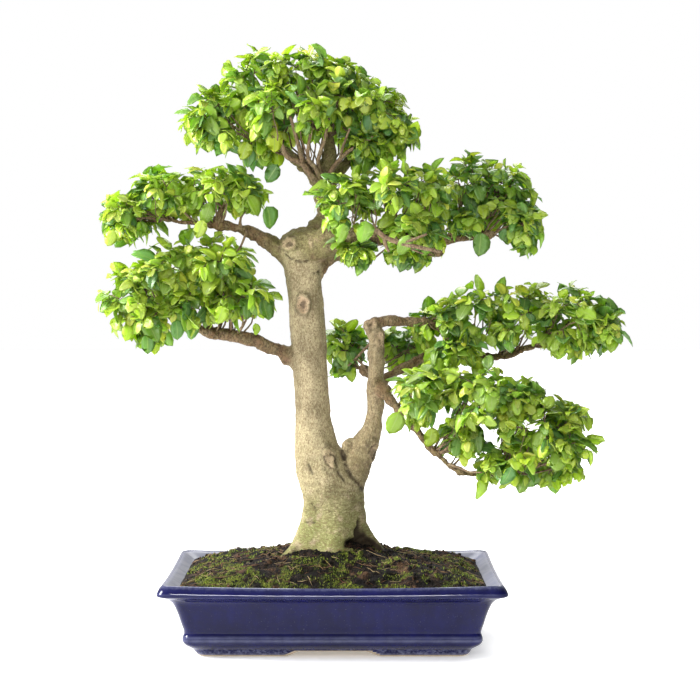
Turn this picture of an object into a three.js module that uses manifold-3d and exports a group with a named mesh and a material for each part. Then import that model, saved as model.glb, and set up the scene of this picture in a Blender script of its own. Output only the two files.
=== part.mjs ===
// A privet bonsai with two trunks and eight foliage pads, in a glazed rectangular pot.
// Lengths are millimetres and +Z is up. Places are given from the middle of the pot's base,
// with X along the pot and Y towards the back, and the whole is centred at the end.

import * as THREE from 'three';
import { LoftGeometry } from 'three/addons/geometries/LoftGeometry.js';
import { mergeVertices } from 'three/addons/utils/BufferGeometryUtils.js';
import Module from 'manifold-3d';

const wasm = await Module();
wasm.setup();
const { Manifold } = wasm;

// Driving dimensions

const GAP = 0.3;
const SOCKET_GAP = 0.48;
const TIDY = 0.02;
const SAME_CORNER = 1e-4;
const SEEDS = { soil: 11, firstPad: 100 };

const POT = {
  rimHalfWidth: 202,
  halfDepthLess: 52,
  corner: 11,
  cornerSteps: 3,
  floorTop: 16.5,
  rimTop: 89.5,
  rimSag: 3,
  sagStart: 70,
  arch: {
    height: 7, topHalf: 36, bottomHalf: 58, sideTopHalf: 22, sideBottomHalf: 42,
    below: 1, toe: 2, shoulder: { out: 5, drop: 1.2 },
  },
  recess: { halfWidth: 128, halfDepth: 78 },
  drain: { x: 72, radius: 10, sides: 12 },
};

// Half widths and heights of the pot's outside, from the foot to the rolled rim.
const POT_OUTSIDE = [
  [155.5, 0], [161, 5], [168.5, 12.5], [174.8, 21], [173.1, 29], [176, 40], [179.5, 52], [184, 63.5],
  [193, 73], [201, 77.5], [POT.rimHalfWidth, 83.5], [201, 87.5], [197.5, POT.rimTop],
];

// Half widths and heights of the pot's inside, up its wall and over the sloping rim.
const POT_WALL = [[161, POT.floorTop], [164, 40], [168, 62]];
const POT_LIP = [[174.5, 76], [190.5, 86.5], [199.8, 97]];

const SCREEN = { half: 17, thick: 1.2, hole: 6.4, pitch: 9.6, perSide: 3 };

const SOIL = {
  wallTop: [174.5, 76.6], edge: [180.8, 80.8], peak: 105, power: 2.6, lump: 1.4,
  rings: [0.95, 0.8, 0.62, 0.42, 0.2], rise: 15, riseReach: 56, riseX: -4,
};

const ROOT_LOBES = { count: 5, turn: 0.4 };
const TRUNK_SIDES = 13;
const TRUNK_DEPTH = 0.95;

// Heights, left and right edges of the main trunk, and how deeply its foot is lobed.
const TRUNK = [
  [90, -68, 59, 0.13], [108, -59, 51.5, 0.1], [120, -52, 45.5, 0.07], [136, -45, 40.5, 0.05],
  [172, -37.5, 37, 0.02], [192, -42.5, 35.5, 0], [210, -46.5, 27, 0], [228, -48, 15, 0],
  [246, -47.5, 3, 0], [281, -46, -3.5, 0],
  [354, -50.5, -8, 0], [415, -55.5, -12.5, 0], [452, -60, -15, 0], [470, -64, -12.5, 0],
  [484, -64, -3, 0], [494, -58, 2, 0], [501, -48, -8, 0],
];

const KNOT = { centre: [-37, -17, 409], radius: 10 };

// Each limb is a run of sections: X, Y, Z of its middle, and its radius.
const LIMBS = {
  secondTrunk: [
    [22, -6, 190, 16], [31, -8, 222, 20], [38, -8, 246, 17], [44, -8, 262, 12.8],
    [48.5, -8, 284, 11.2], [51.5, -8, 330, 9.7], [49, -8, 378, 10.4],
  ],
  secondTop: [
    [46, -8, 376, 7], [51, -8, 386, 6.4], [64, -7, 390.5, 5.6], [84, -3, 389.5, 5.2],
    [107, 0, 386.5, 4.8], [124, 6, 383, 4.4],
  ],
  leftLower: [
    [-38, -2, 344, 10], [-55, -4, 351, 8.6], [-76, -4, 359, 7.6], [-94, -4, 365, 7],
    [-123, -4, 375.5, 6.5], [-148, -4, 377, 6.2], [-180, -4, 381, 5.4], [-196, -3, 388, 4.8],
  ],
  leftUpper: [
    [-42, 0, 462, 17], [-61, 0, 476, 13], [-80, 0, 491.5, 10], [-95, 0, 498.5, 8.6],
    [-113, 0, 504.5, 7.4], [-138, 0, 508.5, 6.8], [-186, 2, 511, 5.4], [-205, 1, 518, 4.6],
  ],
  rightUpperFront: [
    [-34, -6, 478, 22], [-6, -24, 485, 18], [14, -38, 487, 14], [32, -48, 490.5, 11.5],
    [56, -52, 492, 9.6], [76, -57, 495, 7.5],
  ],
  cutStub: [[66, -54, 492, 7], [100, -60, 479, 5.4], [127, -62, 471.5, 4.6]],
  rightUpperBack: [
    [-28, 4, 480, 20], [10, 10, 487, 12], [40, 13, 490, 9], [81, 15, 490.5, 7.6],
    [131, 15, 488.5, 6.4], [167, 15, 493, 5.6], [196, 15, 495.5, 4.6],
  ],
  elbowBranch: [
    [-36, 8, 420, 6], [-22, 13, 437, 6], [-15, 14, 450, 6.5], [-5, 12, 467, 8.5], [2, 8, 483, 10],
  ],
  brokenStub: [[2, 6, 477, 8], [13, 8, 466, 5], [25, 10, 458, 2.6]],
  apex: [[-24, 0, 480, 27], [-10, 1, 504, 18], [-6, 1, 524, 14.5], [-11, 0, 548, 13], [-12, 0, 566, 11]],
  crownLeft: [[-12, -2, 548, 9], [-28, -8, 568, 6.8], [-45, -12, 583, 6], [-66, -8, 600, 5.2]],
  crownRight: [[-10, 2, 552, 9], [14, 5, 579, 7], [28, 6, 597, 6]],
  crownMiddle: [[-12, 0, 560, 10.5], [-6, 0, 585, 8], [-5, 3, 612, 6.4]],
  rightMiddle: [
    [50, -2, 302, 9], [62, 5, 317.5, 7], [73, 15, 324.5, 6.2], [92, 26, 334, 5.6],
    [107, 35, 343, 5.2], [132, 40, 350, 5], [165, 38, 346, 4.8], [199, 30, 344, 4.6],
    [223, 20, 352, 4.2], [246, 11, 359, 3.8],
  ],
  rightLower: [
    [51, -9, 317, 8.5], [59, -22, 306, 7], [71, -30, 294, 6.2], [90, -45, 270, 5.8],
    [115, -55, 246, 5.4], [137, -60, 224, 4.6], [159, -62, 214, 4], [186, -64, 210, 3.6],
    [207, -66, 213, 3.2],
  ],
  backLeft: [[50, -2, 300, 8.5], [50, 24, 318, 7], [36, 50, 329, 6]],
};

const LIMB_SIDES = { thick: 7, thin: 5, bough: 4, thickFrom: 8 };
const BOUGH = { startRadius: 4.6, endRadius: 3, sag: 0.08, bendAt: 0.45, depth: 0.4 };

// Privet leaves are 20 to 30 mm long, in opposite pairs, and droop towards the tip.
const LEAF = {
  length: [24, 30],
  widthShare: 0.68,
  thickness: 0.8,
  sink: 6,
  lean: 0.9,
  droop: 0.2,
  arch: 0.2,
  pairSpread: 2.4,
  keepOff: 0.5,
  rows: [{ along: 0.3, half: 0.5 }, { along: 0.66, half: 0.4 }],
};

const CORE_INSET = 12;
const CORE_ROUGHNESS = 0.1;
const SPREAD_TRIES = 14;

// A clump is a middle, three half sizes out to the leaf tips, and the place on a limb where the
// bough that carries it starts, if it has one of its own.
const PADS = {
  foliage_crown: {
    pairs: 33, detail: 2, colour: 0x5b9a2b,
    clumps: [
      [[-135, 0, 638], [53, 88, 50], [-66, -8, 600]],
      [[-87, 14, 669], [61, 92, 55]],
      [[-26, 8, 676], [61, 92, 52], [-5, 3, 612]],
      [[40, 0, 645], [61, 88, 52], [28, 6, 597]],
      [[73, -4, 621], [39, 62, 40]],
      [[-44, -52, 636], [71, 72, 48], [-28, -8, 568]],
      [[-27, 58, 643], [80, 66, 50]],
    ],
  },
  foliage_left_upper: {
    pairs: 14, detail: 2, colour: 0x66a22f,
    clumps: [
      [[-248, 0, 522], [38, 60, 36], [-205, 1, 518]],
      [[-204, 8, 543], [46, 72, 37]],
      [[-146, 4, 549], [49, 66, 38], [-138, 0, 508.5]],
      [[-103, -6, 551], [32, 44, 29]],
    ],
  },
  foliage_left_lower: {
    pairs: 18, detail: 2, colour: 0x4f9129,
    clumps: [
      [[-237, 0, 416], [49, 78, 49], [-196, -3, 388]],
      [[-205, 14, 449], [61, 88, 46]],
      [[-139, 6, 449], [51, 80, 41], [-148, -4, 377]],
      [[-114, -10, 415], [46, 66, 35], [-123, -4, 375.5]],
      [[-219, -18, 389], [30, 46, 36]],
      [[-166, -22, 411], [44, 50, 30]],
    ],
  },
  foliage_right_upper_front: {
    pairs: 17, detail: 2, colour: 0x6aa834,
    clumps: [
      [[14, -68, 534], [46, 62, 44], [16, -39, 487]],
      [[68, -68, 536], [51, 72, 45]],
      [[110, -54, 534], [37, 52, 43]],
      [[93, -74, 496], [44, 60, 35], [76, -57, 495]],
    ],
  },
  foliage_right_upper_back: {
    pairs: 13, detail: 2, colour: 0x4a8a28,
    clumps: [
      [[159, 24, 553], [41, 60, 47], [131, 15, 488.5]],
      [[204, 24, 537], [50, 68, 50], [167, 15, 493]],
      [[229, 12, 505], [28, 52, 39], [196, 15, 495.5]],
    ],
  },
  foliage_right_middle: {
    pairs: 20, detail: 2, colour: 0x5f9f2e,
    clumps: [
      [[121, 10, 391], [43, 58, 34], [107, 0, 386.5]],
      [[169, 8, 397], [52, 74, 40]],
      [[230, 6, 396], [52, 84, 42], [199, 30, 344]],
      [[292, 0, 393], [50, 84, 44], [246, 11, 359]],
      [[327, 0, 388], [32, 58, 34]],
      [[151, -14, 357], [43, 40, 24]],
    ],
  },
  foliage_right_lower: {
    pairs: 20, detail: 2, colour: 0x69a733,
    clumps: [
      [[109, -58, 302], [45, 66, 44], [74, -32, 291]],
      [[174, -64, 302], [53, 78, 46], [115, -55, 246]],
      [[230, -64, 267], [50, 80, 50]],
      [[264, -66, 243], [43, 66, 50], [207, -66, 213]],
      [[216, -62, 224], [53, 62, 34]],
      [[153, -60, 255], [32, 44, 28]],
    ],
  },
  foliage_centre_back: {
    pairs: 8, detail: 1, colour: 0x3f7d25,
    clumps: [
      [[15, 84, 354], [31, 46, 38], [36, 50, 329]],
      [[86, 88, 356], [50, 54, 37], [50, 24, 318]],
    ],
  },
};

// Finishes

const finish = (color, roughness) => new THREE.MeshStandardMaterial({ color, roughness, metalness: 0 });

const GLAZE = finish(0x1d2c66, 0.22);
const EARTH = finish(0x33281d, 0.95);
const BARK = finish(0x9d8f78, 0.85);
const PLASTIC = finish(0x26282a, 0.6);

// Solids

// The closed solid of a geometry, with its shared corners merged.
function solidOf(geometry) {
  const bare = new THREE.BufferGeometry().setIndex(geometry.index);
  const merged = mergeVertices(bare.setAttribute('position', geometry.attributes.position), SAME_CORNER);
  return new Manifold(new wasm.Mesh({
    numProp: 3,
    vertProperties: Float32Array.from(merged.attributes.position.array),
    triVerts: Uint32Array.from(merged.index.array),
  }));
}

// A named mesh of a solid, with flat facets.
function meshOf(name, solid, material) {
  const { vertProperties, triVerts } = solid.getMesh();
  const geometry = new THREE.BufferGeometry();
  geometry.setAttribute('position', new THREE.BufferAttribute(Float32Array.from(vertProperties), 3));
  geometry.setIndex(new THREE.BufferAttribute(Uint32Array.from(triVerts), 1));
  const faceted = geometry.toNonIndexed();
  faceted.computeVertexNormals();
  const mesh = new THREE.Mesh(faceted, material);
  mesh.name = name;
  return mesh;
}

const loftSolid = (sections) => solidOf(new LoftGeometry(sections, { capStart: true, capEnd: true }));

// The largest body of a solid that a cut may have left in several.
function largestBody(solid) {
  return solid.decompose().reduce((best, body) => (body.volume() > best.volume() ? body : best));
}

// A box given by its lowest and highest corners.
function boxSolid(low, high) {
  const size = high.map((value, axis) => value - low[axis]);
  const middle = high.map((value, axis) => (value + low[axis]) / 2);
  return solidOf(new THREE.BoxGeometry(...size).translate(...middle));
}

// Numbers from 0 to 1 that are the same on every run.
function seeded(seed) {
  let state = seed;
  return () => {
    state = (state + 0x6d2b79f5) | 0;
    let mixed = Math.imul(state ^ (state >>> 15), 1 | state);
    mixed = (mixed + Math.imul(mixed ^ (mixed >>> 7), 61 | mixed)) ^ mixed;
    return ((mixed ^ (mixed >>> 14)) >>> 0) / 2 ** 32;
  };
}

// Pot

// How far the rim hangs below its corners, from 0 at a corner to 1 at the middle of a side.
const sideSag = (share) => 1 - share * share;

// One ring of the pot: a rectangle with round corners, whose long and short sides may sag.
function potRing(halfWidth, z, sag) {
  const halfDepth = halfWidth - POT.halfDepthLess;
  const { corner, cornerSteps } = POT;
  const points = [];
  const sides = [
    { turn: 0, across: halfWidth, along: halfDepth, between: [0] },
    { turn: 1, across: halfDepth, along: halfWidth, between: [0.5, 0, -0.5] },
    { turn: 2, across: halfWidth, along: halfDepth, between: [0] },
    { turn: 3, across: halfDepth, along: halfWidth, between: [0.5, 0, -0.5] },
  ];
  for (const { turn, across, along, between } of sides) {
    const axis = new THREE.Vector3(0, 0, 1);
    const place = (x, y, drop) => points.push(
      new THREE.Vector3(x, y, z - drop).applyAxisAngle(axis, turn * Math.PI / 2));
    for (const share of between) place(across, -share * along, sag * sideSag(share));
    for (let step = 0; step <= cornerSteps; step++) {
      const angle = (step / cornerSteps) * Math.PI / 2;
      place(across - corner + corner * Math.cos(angle), along - corner + corner * Math.sin(angle), 0);
    }
  }
  return points;
}

const potSag = (z) => POT.rimSag * Math.max(0, (z - POT.sagStart) / (POT.rimTop - POT.sagStart));

const potLoft = (profile) => loftSolid(profile.map(([half, z]) => potRing(half, z, potSag(z))));

// The low arch between two feet: a wide foot of the cut, narrower above, right through the pot.
function archSolid(bottomHalf, topHalf, turn) {
  const { height, below, toe, shoulder } = POT.arch;
  const right = [
    [bottomHalf, -below], [bottomHalf - toe, below],
    [topHalf + shoulder.out, height - shoulder.drop], [topHalf, height],
  ];
  const left = right.map(([x, z]) => [-x, z]).reverse();
  const shape = new THREE.Shape([...right, ...left].map((place) => new THREE.Vector2(...place)));
  const depth = 2 * POT.rimHalfWidth;
  const cut = new THREE.ExtrudeGeometry(shape, { depth, bevelEnabled: false });
  cut.translate(0, 0, -depth / 2).rotateX(Math.PI / 2).rotateZ(turn);
  return solidOf(cut);
}

function drainHole(x) {
  const { radius, sides } = POT.drain;
  const hole = new THREE.CylinderGeometry(radius, radius, 2 * POT.floorTop, sides);
  return solidOf(hole.rotateX(Math.PI / 2).translate(x, 0, POT.floorTop / 2));
}

function makePot() {
  const { arch, recess, drain } = POT;
  const cuts = [
    potLoft([...POT_WALL, ...POT_LIP]),
    archSolid(arch.bottomHalf, arch.topHalf, 0),
    archSolid(arch.sideBottomHalf, arch.sideTopHalf, Math.PI / 2),
    boxSolid([-recess.halfWidth, -recess.halfDepth, -arch.below],
      [recess.halfWidth, recess.halfDepth, arch.height]),
    drainHole(-drain.x),
    drainHole(drain.x),
  ];
  return potLoft(POT_OUTSIDE).subtract(Manifold.union(cuts));
}

// A square of mesh that keeps the soil in over a drain hole.
function makeScreen(x) {
  const { half, thick, hole, pitch, perSide } = SCREEN;
  const low = POT.floorTop + GAP;
  const holes = [];
  for (let row = 0; row < perSide; row++) {
    for (let column = 0; column < perSide; column++) {
      const [cx, cy] = [row, column].map((place) => (place - (perSide - 1) / 2) * pitch);
      holes.push(boxSolid([x + cx - hole / 2, cy - hole / 2, low - 1],
        [x + cx + hole / 2, cy + hole / 2, low + thick + 1]));
    }
  }
  return boxSolid([x - half, -half, low], [x + half, half, low + thick]).subtract(Manifold.union(holes));
}

// Soil

// Height of the soil: a mound to the pot's wall, and a bell round the trunk's foot.
function soilHeight(share, x, y) {
  const mound = SOIL.edge[1] + (SOIL.peak - SOIL.edge[1]) * (1 - share ** SOIL.power);
  return mound + SOIL.rise * Math.exp(-((Math.hypot(x - SOIL.riseX, y) / SOIL.riseReach) ** 2));
}

function makeSoil(socket) {
  const random = seeded(SEEDS.soil);
  const wall = [...POT_WALL, SOIL.wallTop].map(([half, z]) => potRing(half - GAP, z, 0));
  for (const point of wall[0]) point.z += GAP;
  const edge = potRing(SOIL.edge[0] - GAP, SOIL.edge[1], 0);
  const mound = SOIL.rings.map((share) => edge.map((point) => {
    const [x, y] = [point.x * share, point.y * share];
    return new THREE.Vector3(x, y, soilHeight(share, x, y) + (random() * 2 - 1) * SOIL.lump);
  }));
  const { half, thick } = SCREEN;
  const pockets = [-POT.drain.x, POT.drain.x].map((x) => boxSolid(
    [x - half - GAP, -half - GAP, 0], [x + half + GAP, half + GAP, POT.floorTop + thick + 2 * GAP]));
  return loftSolid([...wall, edge, ...mound]).subtract(Manifold.union([socket, ...pockets]));
}

// Wood

// The main trunk: rings between its left and right edges, lobed at the foot by its roots.
function trunkSolid(extra) {
  return loftSolid(TRUNK.map(([z, left, right, lobe]) => {
    const half = (right - left) / 2;
    return Array.from({ length: TRUNK_SIDES }, (_, side) => {
      const angle = (side / TRUNK_SIDES) * 2 * Math.PI;
      const radius = half * (1 + lobe * Math.cos(ROOT_LOBES.count * angle + ROOT_LOBES.turn)) + extra;
      return new THREE.Vector3(
        (left + right) / 2 + radius * Math.cos(angle), radius * TRUNK_DEPTH * Math.sin(angle), z);
    });
  }));
}

// A round limb through its sections, each turned half way between the runs it joins.
function limbSolid(sections, sides, extra) {
  const middles = sections.map(([x, y, z]) => new THREE.Vector3(x, y, z));
  const last = middles.length - 1;
  const run = (from, to) => middles[to].clone().sub(middles[from]).normalize();
  let across = new THREE.Vector3(0, 1, 0);
  const rings = middles.map((middle, i) => {
    const before = run(Math.max(i - 1, 0), Math.max(i, 1));
    const after = run(Math.min(i, last - 1), Math.min(i + 1, last));
    const along = before.clone().add(after).normalize();
    across = across.clone().addScaledVector(along, -across.dot(along)).normalize();
    const up = along.clone().cross(across);
    const end = i === last ? extra : i === 0 ? -extra : 0;
    const radius = sections[i][3] + extra;
    return Array.from({ length: sides }, (_, side) => {
      const angle = (side / sides) * 2 * Math.PI;
      return middle.clone().addScaledVector(along, end)
        .addScaledVector(across, radius * Math.cos(angle)).addScaledVector(up, radius * Math.sin(angle));
    });
  });
  return loftSolid(rings);
}

const coreRadii = (radii) => radii.map((radius) => radius - CORE_INSET);

// The sections of the bough that carries a clump, from its limb to part way inside the clump.
function boughSections([middle, radii, start]) {
  const from = new THREE.Vector3(...start);
  const to = new THREE.Vector3(...middle);
  const inward = from.clone().sub(to).normalize();
  const [rx, ry, rz] = coreRadii(radii);
  const toSurface = 1 / new THREE.Vector3(inward.x / rx, inward.y / ry, inward.z / rz).length();
  to.addScaledVector(inward, toSurface * BOUGH.depth);
  const bend = from.clone().lerp(to, BOUGH.bendAt);
  bend.z -= BOUGH.sag * from.distanceTo(to);
  const middleRadius = (BOUGH.startRadius + BOUGH.endRadius) / 2;
  return [[...from, BOUGH.startRadius], [...bend, middleRadius], [...to, BOUGH.endRadius]];
}

// All the wood as one body, thicker by an extra amount where it serves to cut sockets.
function growWood(extra) {
  const { thick, thin, bough, thickFrom } = LIMB_SIDES;
  const limbs = Object.values(LIMBS).map((sections) =>
    limbSolid(sections, sections[0][3] > thickFrom ? thick : thin, extra));
  const boughs = Object.values(PADS).flatMap(({ clumps }) =>
    clumps.filter(([, , start]) => start).map((clump) => limbSolid(boughSections(clump), bough, extra)));
  const knot = solidOf(new THREE.IcosahedronGeometry(KNOT.radius + extra, 1).translate(...KNOT.centre));
  return Manifold.union([trunkSolid(extra), knot, ...limbs, ...boughs]).simplify(TIDY);
}

// Foliage

// How far a ray from a place runs before it leaves a clump's inner ball for good, or 0 if it misses.
function reachInClump([middle, radii], from, direction) {
  const inner = coreRadii(radii);
  const scaled = (vector) => vector.clone().divide(new THREE.Vector3(...inner));
  const away = scaled(from.clone().sub(new THREE.Vector3(...middle)));
  const run = scaled(direction);
  const [a, b, c] = [run.dot(run), away.dot(run), away.dot(away) - 1];
  const inside = b * b - a * c;
  return inside < 0 ? 0 : Math.max(0, (Math.sqrt(inside) - b) / a);
}

// The core of a pad: a faceted ball drawn out in every direction to the edge of the clumps.
function padCore(clumps, detail, random) {
  const box = new THREE.Box3();
  for (const [middle, radii] of clumps) {
    const [centre, half] = [new THREE.Vector3(...middle), new THREE.Vector3(...coreRadii(radii))];
    box.expandByPoint(centre.clone().sub(half)).expandByPoint(centre.add(half));
  }
  const [centre, size] = [box.getCenter(new THREE.Vector3()), box.getSize(new THREE.Vector3())];
  const ball = new THREE.IcosahedronGeometry(1, detail).deleteAttribute('normal').deleteAttribute('uv');
  const core = mergeVertices(ball);
  const { position } = core.attributes;
  for (let i = 0; i < position.count; i++) {
    const direction = new THREE.Vector3().fromBufferAttribute(position, i).multiply(size).normalize();
    const reach = Math.max(...clumps.map((clump) => reachInClump(clump, centre, direction)));
    const lumpy = reach * (1 + (random() * 2 - 1) * CORE_ROUGHNESS);
    position.setXYZ(i, ...direction.multiplyScalar(lumpy).add(centre));
  }
  return solidOf(core);
}

// Places spread evenly over a solid's surface, with the way out at each.
function spreadOver(solid, count, random) {
  const { vertProperties, triVerts } = solid.getMesh();
  const corner = (index) => new THREE.Vector3().fromArray(vertProperties, index * 3);
  const faces = [];
  let area = 0;
  for (let i = 0; i < triVerts.length; i += 3) {
    const face = new THREE.Triangle(corner(triVerts[i]), corner(triVerts[i + 1]), corner(triVerts[i + 2]));
    area += face.getArea();
    faces.push({ face, upTo: area });
  }
  const draw = () => {
    const pick = random() * area;
    const { face } = faces.find(({ upTo }) => upTo >= pick);
    const [u, v] = [random(), random()];
    const [s, t] = u + v > 1 ? [1 - u, 1 - v] : [u, v];
    const at = face.a.clone().addScaledVector(face.b.clone().sub(face.a), s)
      .addScaledVector(face.c.clone().sub(face.a), t);
    return { at, out: face.getNormal(new THREE.Vector3()) };
  };
  const chosen = [draw()];
  const clear = ({ at }) => Math.min(...chosen.map((other) => other.at.distanceTo(at)));
  while (chosen.length < count) {
    const tries = Array.from({ length: SPREAD_TRIES }, draw);
    chosen.push(tries.reduce((best, one) => (clear(one) > clear(best) ? one : best)));
  }
  return chosen;
}

// A leaf blade: a pointed oval of even thickness, bent down across two lines as it goes out.
function bladeSolid(frame, length, thickness) {
  const width = length * LEAF.widthShare;
  const bend = (along) => -LEAF.arch * length * along * along;
  const outline = [[0, -LEAF.sink, 0]];
  for (const { along, half } of LEAF.rows) {
    outline.push([-half * width, along * length, bend(along)], [half * width, along * length, bend(along)]);
  }
  outline.push([0, length, bend(1)]);
  const corners = [-thickness / 2, thickness / 2].flatMap((lift) => outline.flatMap(([x, y, z]) =>
    new THREE.Vector3(x, y, z + lift).applyMatrix4(frame).toArray()));
  const lid = [[0, 2, 1], [1, 2, 4], [1, 4, 3], [3, 4, 5]];
  const edge = [0, 2, 4, 5, 3, 1];
  const top = outline.length;
  const faces = [
    ...lid.flatMap(([a, b, c]) => [a + top, b + top, c + top, a, c, b]),
    ...edge.flatMap((a, i) => {
      const b = edge[(i + 1) % edge.length];
      return [a, b, b + top, a, b + top, a + top];
    }),
  ];
  return new Manifold(new wasm.Mesh({
    numProp: 3, vertProperties: Float32Array.from(corners), triVerts: Uint32Array.from(faces),
  }));
}

// The frames of an opposite pair of leaves at a place on a core.
function pairFrames({ at, out }, random) {
  const any = Math.abs(out.z) > 0.9 ? new THREE.Vector3(1, 0, 0) : new THREE.Vector3(0, 0, 1);
  const side = out.clone().cross(any).normalize().applyAxisAngle(out, random() * 2 * Math.PI);
  return [side, side.clone().negate()].map((towards) => {
    const along = out.clone().addScaledVector(towards, LEAF.lean);
    along.z -= LEAF.droop;
    along.normalize();
    const up = out.clone().addScaledVector(along, -out.dot(along)).normalize();
    const root = at.clone().addScaledVector(towards, LEAF.pairSpread);
    return new THREE.Matrix4().makeBasis(along.clone().cross(up), along, up).setPosition(root);
  });
}

// One pad: a core seated on its boughs, with pairs of leaves that keep off everything else.
function growPad(pairs, core, random, wood, neighbours) {
  const blades = [];
  for (const place of spreadOver(core, pairs, random)) {
    for (const frame of pairFrames(place, random)) {
      const length = THREE.MathUtils.lerp(...LEAF.length, random());
      const room = bladeSolid(frame, length + 2 * LEAF.keepOff, LEAF.thickness + 2 * LEAF.keepOff);
      if (neighbours.concat(wood).every((other) => other.intersect(room).isEmpty())) {
        blades.push(bladeSolid(frame, length, LEAF.thickness));
      }
    }
  }
  return largestBody(Manifold.union([core.subtract(wood), ...blades])).simplify(TIDY);
}

// Assembly

const bonsai = new THREE.Group();
const socket = growWood(SOCKET_GAP);
const solids = [
  ['pot', makePot(), GLAZE],
  ['drain_screen_left', makeScreen(-POT.drain.x), PLASTIC],
  ['drain_screen_right', makeScreen(POT.drain.x), PLASTIC],
  ['soil', makeSoil(socket), EARTH],
  ['wood', growWood(0), BARK],
];

const pads = Object.entries(PADS).map(([name, pad], order) => {
  const random = seeded(SEEDS.firstPad + order);
  return { name, pad, random, core: padCore(pad.clumps, pad.detail, random) };
});
const grown = [];
for (const { name, pad, random, core } of pads) {
  const others = pads.map((other) => other.core).filter((other) => other !== core);
  grown.push(growPad(pad.pairs, core, random, socket, [...others, ...grown]));
  solids.push([name, grown.at(-1), finish(pad.colour, 0.45)]);
}

for (const [name, solid, material] of solids) bonsai.add(meshOf(name, solid, material));

// The origin is on the ground under the middle of the whole.
const middle = new THREE.Box3().setFromObject(bonsai).getCenter(new THREE.Vector3());
bonsai.position.set(-middle.x, -middle.y, 0);

export default bonsai;
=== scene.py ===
"""Looks of a privet bonsai: a glazed pot, mossy soil, two trunks and eight pads of leaves.

Sizes are millimetres from the middle of the pot's base, with X along the pot, Y towards the back
and Z up. A piece is turned into metres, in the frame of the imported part, when its mesh is made.
"""

import logging
import math
from dataclasses import dataclass, field
from enum import Enum
from typing import Sequence

import bpy
import numpy as np
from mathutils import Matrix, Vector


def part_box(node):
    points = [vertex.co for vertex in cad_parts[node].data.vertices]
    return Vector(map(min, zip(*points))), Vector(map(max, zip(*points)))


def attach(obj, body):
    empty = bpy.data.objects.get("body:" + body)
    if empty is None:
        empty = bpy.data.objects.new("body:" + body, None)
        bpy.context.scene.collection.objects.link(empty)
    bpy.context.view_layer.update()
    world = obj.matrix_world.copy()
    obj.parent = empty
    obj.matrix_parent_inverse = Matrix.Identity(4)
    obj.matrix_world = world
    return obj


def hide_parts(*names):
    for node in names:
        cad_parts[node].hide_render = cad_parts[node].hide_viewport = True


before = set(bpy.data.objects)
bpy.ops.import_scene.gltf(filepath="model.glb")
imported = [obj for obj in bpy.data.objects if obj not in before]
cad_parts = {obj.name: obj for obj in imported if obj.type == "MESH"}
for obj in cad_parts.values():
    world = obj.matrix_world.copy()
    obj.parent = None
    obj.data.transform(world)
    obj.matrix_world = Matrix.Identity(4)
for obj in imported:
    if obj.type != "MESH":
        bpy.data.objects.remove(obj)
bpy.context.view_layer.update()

LOG = logging.getLogger("bonsai")
UP = np.array([0.0, 0.0, 1.0])
TINT = "tint"
GOLDEN_ANGLE = math.pi * (3 - math.sqrt(5))


class Slot(Enum):
    """The record's material slots, one of which is passed with each new piece."""

    GLAZE = "glaze"
    SOIL = "soil"
    BARK = "bark"
    LEAF = "leaf"


class Vigour(Enum):
    """How old a stray leaf is, which sets its green, from 0 for young to 1 for old."""

    YOUNG = 0.0
    GROWN = 0.5
    FIRM = 0.75
    OLD = 1.0


# Numbers and directions


def unit(vectors: np.ndarray) -> np.ndarray:
    """Vectors of length one along the last axis."""
    return vectors / np.maximum(np.linalg.norm(vectors, axis=-1, keepdims=True), 1e-9)


def ease(values: np.ndarray, low: float, high: float) -> np.ndarray:
    """Smoothstep: 0 at low, 1 at high, and three squares less two cubes of the share between."""
    share = np.clip((values - low) / (high - low), 0, 1)
    return share * share * (3 - 2 * share)


def bell(values: np.ndarray, middle: float, width: float) -> np.ndarray:
    """A bell: 1 at the middle, and a power of e, less the square of the way over the width."""
    return np.exp(-((values - middle) / width) ** 2)


def flattened(places: np.ndarray) -> np.ndarray:
    """The same X and Y as the places, at height 0."""
    return np.concatenate([places[..., :2], 0 * places[..., :1]], axis=-1)


def quadratic(first: np.ndarray, control: np.ndarray, last: np.ndarray, count: int) -> np.ndarray:
    """Curves from first to last that set out and arrive along the lines to a control point.

    Each is the first point by the square of what is left, twice the control point by the way
    times what is left, and the last point by the square of the way.

    Args:
        first: Where each curve starts, (curves, 3).
        control: Where each is drawn to, (curves, 3).
        last: Where each ends, (curves, 3).
        count: How many points each has.

    Returns:
        Points, (curves, count, 3).
    """
    way = np.linspace(0, 1, count)[:, None]
    return first[:, None] * (1 - way) ** 2 + 2 * control[:, None] * way * (1 - way) + last[:, None] * way**2


def tone(red: float, green: float, blue: float) -> tuple[float, float, float, float]:
    """A screen colour, each part from 0 to 255, as the linear colour that shaders use."""
    parts = [part / 255 for part in (red, green, blue)]
    linear = [part / 12.92 if part <= 0.04045 else ((part + 0.055) / 1.055) ** 2.4 for part in parts]
    return (*linear, 1.0)


def lattice_noise(points: np.ndarray, scale: float, seed: int) -> np.ndarray:
    """Smooth noise: random numbers on a cubic lattice, blended by smoothstep along each axis.

    Args:
        points: Places, in millimetres, along the last axis.
        scale: The lattice's pitch in millimetres.
        seed: Picks one noise among many.

    Returns:
        A number from -1 to 1 for each place.
    """
    places = points / scale
    cell = np.floor(places).astype(np.int64)
    share = places - cell
    share = share * share * (3 - 2 * share)
    total = np.zeros(points.shape[:-1])
    for corner in np.ndindex(2, 2, 2):
        key = (cell + np.array(corner)) * np.array([73856093, 19349663, 83492791])
        mixed = (key[..., 0] ^ key[..., 1] ^ key[..., 2] ^ (seed * 40503)) & 0xFFFFFFFF
        mixed = ((mixed ^ (mixed >> 13)) * 1274126177) & 0xFFFFFFFF
        value = ((mixed ^ (mixed >> 16)) & 0xFFFF) / 32767.5 - 1
        weight = np.where(np.array(corner) == 1, share, 1 - share).prod(axis=-1)
        total += weight * value
    return total


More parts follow.
